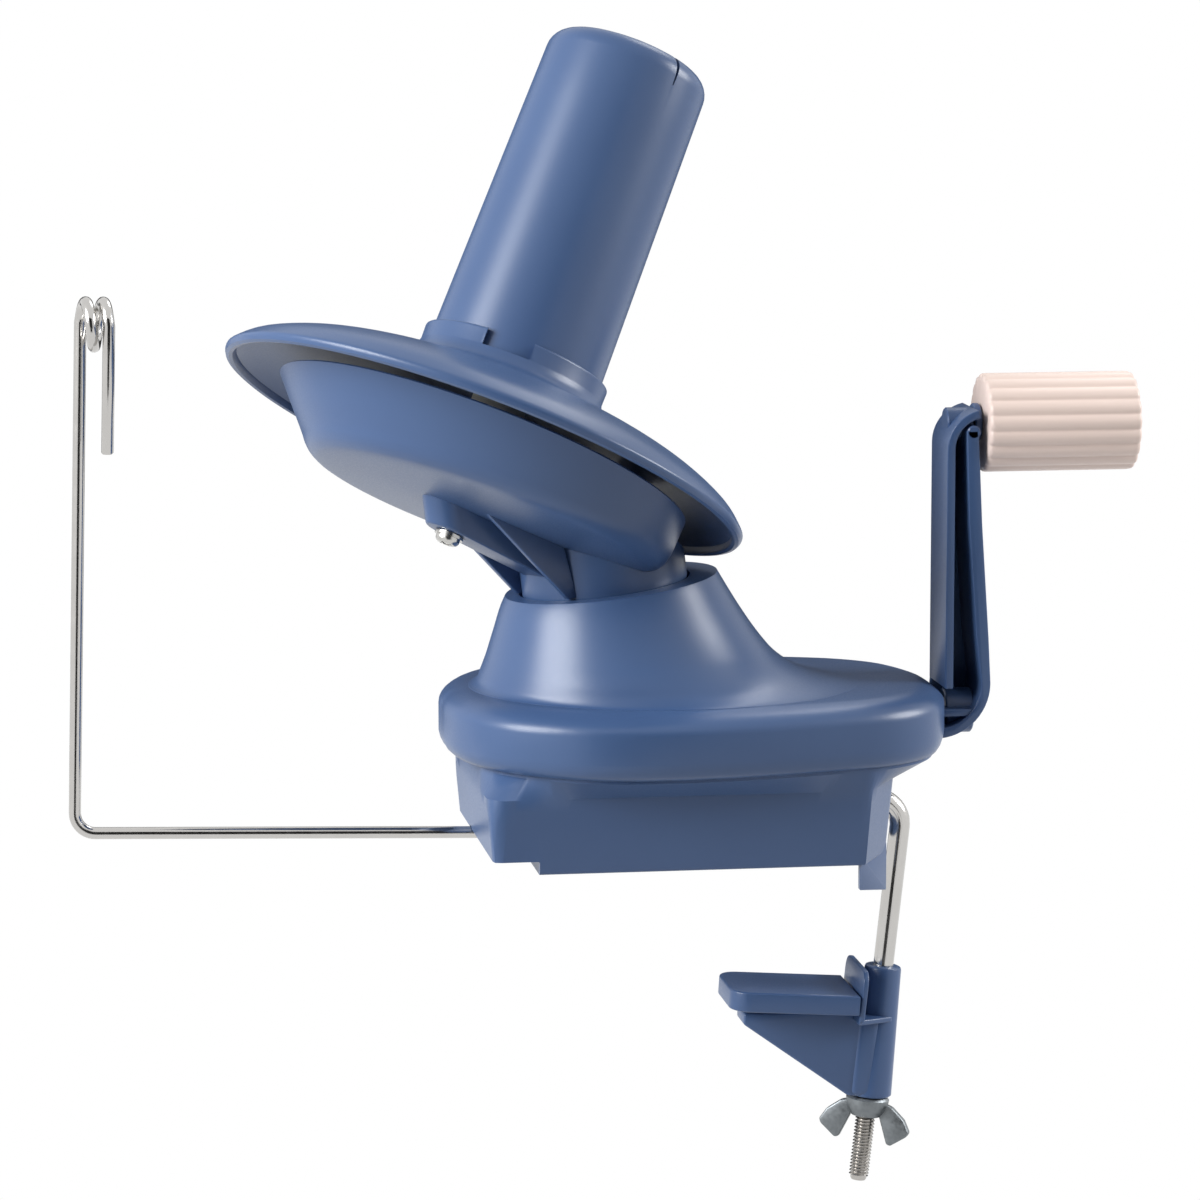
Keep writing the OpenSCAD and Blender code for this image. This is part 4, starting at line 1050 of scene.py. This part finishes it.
def white_to_camera(tree, lit, output, kind):
    """Mix a pure white for camera, glossy and transmitted rays with the lit shader for the rest."""
    path = add(tree, "ShaderNodeLightPath")
    seen = add(tree, "ShaderNodeMath", operation="MAXIMUM")
    tree.links.new(path.outputs["Is Camera Ray"], seen.inputs[0])
    tree.links.new(path.outputs["Is Glossy Ray"], seen.inputs[1])
    either = add(tree, "ShaderNodeMath", operation="MAXIMUM")
    tree.links.new(seen.outputs["Value"], either.inputs[0])
    tree.links.new(path.outputs["Is Transmission Ray"], either.inputs[1])
    white = add(tree, kind, {"Color": (1, 1, 1, 1), "Strength": 1.0})
    mix = add(tree, "ShaderNodeMixShader", {"Fac": either.outputs["Value"]})
    tree.links.new(lit, mix.inputs[1])
    tree.links.new(white.outputs[0], mix.inputs[2])
    tree.links.new(mix.outputs["Shader"], output.inputs["Surface"])


# %% White floor and world
FLOOR_Z = -0.30
FLOOR_HALF = 4
FLOOR_GREY = 0.6
PAPER_ROUGH = 0.9
WORLD_LIGHT = 0.3
world = bpy.data.worlds.new("white_studio")
bpy.context.scene.world = world
world.use_nodes = True
sky = world.node_tree
plain = sky.nodes["Background"]
plain.inputs["Color"].default_value = (1, 1, 1, 1)
plain.inputs["Strength"].default_value = WORLD_LIGHT
white_to_camera(sky, plain.outputs["Background"], sky.nodes["World Output"], "ShaderNodeBackground")

sweep = bmesh.new()
bmesh.ops.create_grid(sweep, x_segments=1, y_segments=1, size=FLOOR_HALF)
bmesh.ops.translate(sweep, vec=(0, 0, FLOOR_Z), verts=sweep.verts)
paper, paper_tree, paper_shader, _ = start_material("white_paper_sweep")
paper_shader.inputs["Base Color"].default_value = (FLOOR_GREY, FLOOR_GREY, FLOOR_GREY, 1)
paper_shader.inputs["Roughness"].default_value = PAPER_ROUGH
white_to_camera(paper_tree, paper_shader.outputs["BSDF"], paper_tree.nodes["Material Output"],
                "ShaderNodeEmission")
floor = to_object("studio_floor", sweep, paper)
print("floor at", FLOOR_Z, "m")

# %% [markdown]
# ## Light
# Satin plastic looks flat in even light. A large soft panel stands at the upper left, a smaller one at
# the right and a weak one above and behind. Dark cards work as black flags do in a studio: they take
# light away from where the photograph is deep in colour.

# %% Soft panels
LOOK_AT = Vector((-10.8, 0, 72.3)) * MM


def panel(name, where, size, watts):
    lamp = bpy.data.lights.new(name, "AREA")
    lamp.shape = "DISK"
    lamp.size = size
    lamp.energy = watts
    holder = bpy.data.objects.new(name, lamp)
    bpy.context.scene.collection.objects.link(holder)
    holder.location = where
    holder.rotation_euler = (LOOK_AT - Vector(where)).to_track_quat("-Z", "Y").to_euler()
    print(name, watts, "W")


panel("left_panel", (-1.35, -0.45, 0.75), 1.0, 39)
panel("right_panel", (1.25, -0.1, 0.6), 0.7, 16)
panel("back_panel", (0.8, 0.9, 1.4), 0.7, 5)

# %% Dark cards
# One stands behind the camera and one behind the object, where the camera doesn't see them, and keep
# the front and the level tops deep in colour. A low narrow one draws a dark streak on the rod.
black_paper, _, black_shader, _ = start_material("black_paper_card")
black_shader.inputs["Base Color"].default_value = (0.02, 0.02, 0.02, 1)
black_shader.inputs["Roughness"].default_value = PAPER_ROUGH


def dark_card(name, centre, half_width, half_height, facing=0):
    bm = bmesh.new()
    bmesh.ops.create_grid(bm, x_segments=1, y_segments=1, size=1)
    bmesh.ops.scale(bm, vec=(half_width, half_height, 1), verts=bm.verts)
    for degrees, axis in ((90, "X"), (facing, "Z")):
        shifted(bm, turn(degrees, axis))
    bmesh.ops.translate(bm, vec=centre, verts=bm.verts)
    card = to_object(name, bm, black_paper)
    card.visible_camera = False
    print(name, "at", centre)


dark_card("front_card", (-0.2, -2.2, 0.4), 1.1, 1.1)
dark_card("back_card", (0.3, 1.7, 0.25), 1.0, 0.55)
dark_card("streak_card", (-0.2, -0.86, -0.16), 0.28, 0.13, -18)

# %% [markdown]
# ## Camera
# The photograph was taken from a little to the left and a little above. These angles and this distance
# were found by laying edges of the model over the same edges in the picture.

# %% Camera
CAMERA_TURN = 8.5
CAMERA_RISE = 8.5
CAMERA_AWAY = 1.445
LENS_MM = 150
SENSOR_MM = 36
sight = Vector((sin(radians(CAMERA_TURN)) * cos(radians(CAMERA_RISE)),
                cos(radians(CAMERA_TURN)) * cos(radians(CAMERA_RISE)), -sin(radians(CAMERA_RISE))))
lens = bpy.data.cameras.new("product_camera")
lens.lens = LENS_MM
lens.sensor_width = SENSOR_MM
camera = bpy.data.objects.new("product_camera", lens)
bpy.context.scene.collection.objects.link(camera)
camera.location = LOOK_AT - sight * CAMERA_AWAY
camera.rotation_euler = sight.to_track_quat("-Z", "Y").to_euler()
bpy.context.scene.camera = camera
bpy.context.scene.view_settings.view_transform = "Standard"
print("camera", CAMERA_AWAY, "m away with a lens of", LENS_MM, "mm")
